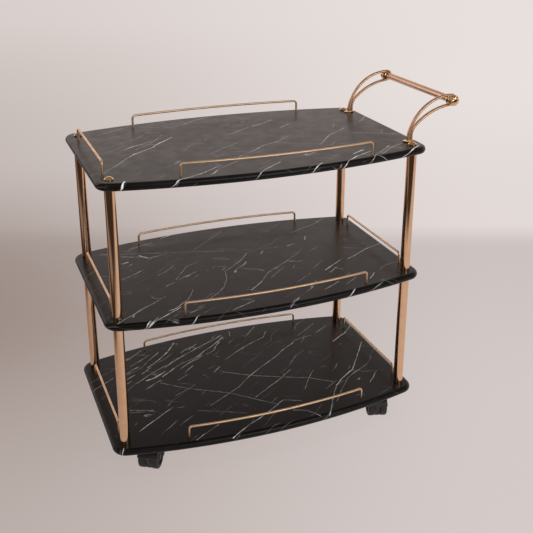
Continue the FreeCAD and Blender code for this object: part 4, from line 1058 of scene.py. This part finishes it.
def floor_finish(stage):
    """Matt sweep: a floor that turns paler behind the trolley, with painted shade on the left,
    painted shade nearly black outside the lit part and a painted paler strip in that dark on the
    far left. Camera, glossy and transmission rays see its tone evened out, other rays don't.
    Depth is the distance ahead of the camera's place, and slant is about the tangent of the angle
    to the right of it."""
    finish = Finish("pale_floor")
    ahead, right = view_axes(stage)
    camera = (stage.camera[0] + float(SHELF_CENTRE[0]), stage.camera[1], 0.0)
    away = finish.vector("SUBTRACT", finish.place, camera)
    depth = finish.measure("DOT_PRODUCT", away, ahead)
    slant = finish.measure("DOT_PRODUCT", away, right) / (abs(depth) + 0.4)

    tone = finish.blend(depth.step(1.7, 2.75), tuple(stage.near), tuple(stage.behind))
    sweep = finish.blend(depth.step(stage.edge, 5.5), tuple(stage.rise), tuple(stage.far))
    tone = finish.blend(depth.step(stage.edge - 0.1, stage.edge + 0.16), tone, sweep)
    # Painted shade: the floor's left side is darkened towards the shade colour over ranges of
    # distance.
    dim = slant.step(0.28, -0.38)
    for run in LEFT_SHADE_RUNS:
        dim = dim * depth.step(*run)
    tone = finish.blend(dim, tone, tuple(stage.left_shade))
    # Painted light: a paler strip across the dark far left of the floor, which the posts mirror as
    # a lighter stripe.
    painted_light_strip = slant.step(-0.7, -0.85) * slant.step(-1.5, -1.15)
    # Painted shade: outside the lit part on the left and close to the camera the floor is painted
    # nearly black.
    unlit = (slant.step(-0.36, -0.58) - painted_light_strip * 0.55).maximum(depth.step(0.85, 0.35))
    tone = finish.blend(unlit, tone, tuple(stage.unlit_shade))

    light = finish.node("ShaderNodeLightPath")
    camera_ray, glossy_ray, transmission_ray = (
        Field(finish, light.outputs[f"Is {kind} Ray"])
        for kind in ("Camera", "Glossy", "Transmission"))
    seen = (camera_ray + glossy_ray + transmission_ray).minimum(1.0)
    glow = finish.node("ShaderNodeEmission", None, {"Color": tone, "Strength": 1.0})
    material = finish.shade({"Base Color": tone, "Roughness": 0.9, "Specular IOR Level": 0.0})
    mix = finish.node("ShaderNodeMixShader", None, {
        0: seen * stage.show, 1: finish.shader.outputs[0], 2: glow.outputs[0]})
    finish.fill(finish.output, {"Surface": mix.outputs[0]})
    material.cycles.emission_sampling = "NONE"
    return material


def add_floor(stage):
    """Level square under the wheels, far wider than the view."""
    reach = 60.0
    corners = np.array([(-1, -1, 0), (1, -1, 0), (1, 1, 0), (-1, 1, 0)]) * reach
    mesh = bpy.data.meshes.new("floor")
    mesh.from_pydata(corners.tolist(), [], [(0, 1, 2, 3)])
    floor = bpy.data.objects.new("floor", mesh)
    mesh.materials.append(floor_finish(stage))
    bpy.context.scene.collection.objects.link(floor)


def add_world(stage):
    """Studio around the trolley: a bright wall behind it, dimmer overhead, a dark room in front and
    a pale band along the horizon. Height is the sine of the angle above the horizon."""
    world = bpy.data.worlds.new("studio")
    world.use_nodes = True
    nodes = Nodes(world.node_tree)
    direction = nodes.node("ShaderNodeTexCoord").outputs["Generated"]
    ahead, _ = view_axes(stage)
    height = nodes.measure("DOT_PRODUCT", direction, (0.0, 0.0, 1.0))
    behind = nodes.measure("DOT_PRODUCT", direction, ahead).step(-0.15, 0.45)
    wall = behind * height.step(0.66, 0.31)
    band = height.step(0.14, 0.04) * 0.55
    room = nodes.blend(height.step(0.3, 0.85), tuple(stage.room), tuple(stage.ceiling))
    colour = nodes.blend(wall.maximum(band), room, tuple(stage.wall))
    nodes.fill(world.node_tree.nodes["Background"], {"Color": colour, "Strength": 1.0})
    bpy.context.scene.world = world


def add_lamp(name, place, target, size, power, mirrored):
    """Soft rectangular lamp that points at a target and may be left out of reflections."""
    lamp = bpy.data.lights.new(name, "AREA")
    lamp.shape = "RECTANGLE"
    lamp.size, lamp.size_y = size
    lamp.energy = power
    holder = bpy.data.objects.new(name, lamp)
    holder.location = place
    holder.rotation_euler = (Vector(target) - Vector(place)).to_track_quat("-Z", "Y").to_euler()
    holder.visible_glossy = mirrored
    bpy.context.scene.collection.objects.link(holder)


def add_camera(stage):
    """Camera at the photograph's place, lens and framing."""
    camera = bpy.data.cameras.new("camera")
    camera.lens = stage.lens
    camera.sensor_width = 36.0
    camera.shift_x, camera.shift_y = stage.shift_x, stage.shift_y
    holder = bpy.data.objects.new("camera", camera)
    holder.location = Vector(stage.camera) + Vector((SHELF_CENTRE[0], 0.0, BOTTOM_TOP))
    holder.rotation_euler = (math.pi / 2 - stage.pitch, 0.0, -stage.yaw)
    bpy.context.scene.collection.objects.link(holder)
    bpy.context.scene.camera = holder


class TROLLEY_OT_stage(bpy.types.Operator):
    """Pale floor, soft light and the camera"""
    bl_idname = "trolley.stage"
    bl_label = "Stage"

    def execute(self, context):
        stage = context.scene.trolley_stage
        add_floor(stage)
        add_world(stage)
        for name, values in LAMPS.items():
            add_lamp(name, *values)
        add_camera(stage)
        context.scene.view_settings.view_transform = "Standard"
        return {"FINISHED"}


OPERATORS = (TROLLEY_OT_shelves, TROLLEY_OT_posts, TROLLEY_OT_rails, TROLLEY_OT_handle,
             TROLLEY_OT_casters, TROLLEY_OT_hardware, TROLLEY_OT_stage)
GROUPS = {"trolley_shape": TrolleyShape, "trolley_marble": TrolleyMarble,
          "trolley_metal": TrolleyMetal, "trolley_nylon": TrolleyNylon,
          "trolley_stage": TrolleyStage}


class TROLLEY_PT_panel(bpy.types.Panel):
    """Buttons for the trolley's pieces"""
    bl_idname = "TROLLEY_PT_panel"
    bl_label = "Tea trolley"
    bl_space_type = "VIEW_3D"
    bl_region_type = "UI"
    bl_category = "Tea trolley"

    def draw(self, context):
        for operator in OPERATORS:
            self.layout.operator(operator.bl_idname)


def register():
    """Adds the classes and the scene's settings."""
    for group in GROUPS.values():
        bpy.utils.register_class(group)
    for name, group in GROUPS.items():
        setattr(bpy.types.Scene, name, PointerProperty(type=group))
    for operator in OPERATORS:
        bpy.utils.register_class(operator)
    bpy.utils.register_class(TROLLEY_PT_panel)


def unregister():
    """Removes what register added."""
    bpy.utils.unregister_class(TROLLEY_PT_panel)
    for operator in reversed(OPERATORS):
        bpy.utils.unregister_class(operator)
    for name, group in GROUPS.items():
        delattr(bpy.types.Scene, name)
        bpy.utils.unregister_class(group)


def main():
    """Dresses the trolley."""
    register()
    for operator in OPERATORS:
        group, name = operator.bl_idname.split(".")
        getattr(getattr(bpy.ops, group), name)()
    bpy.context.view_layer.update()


if __name__ == "__main__":
    main()
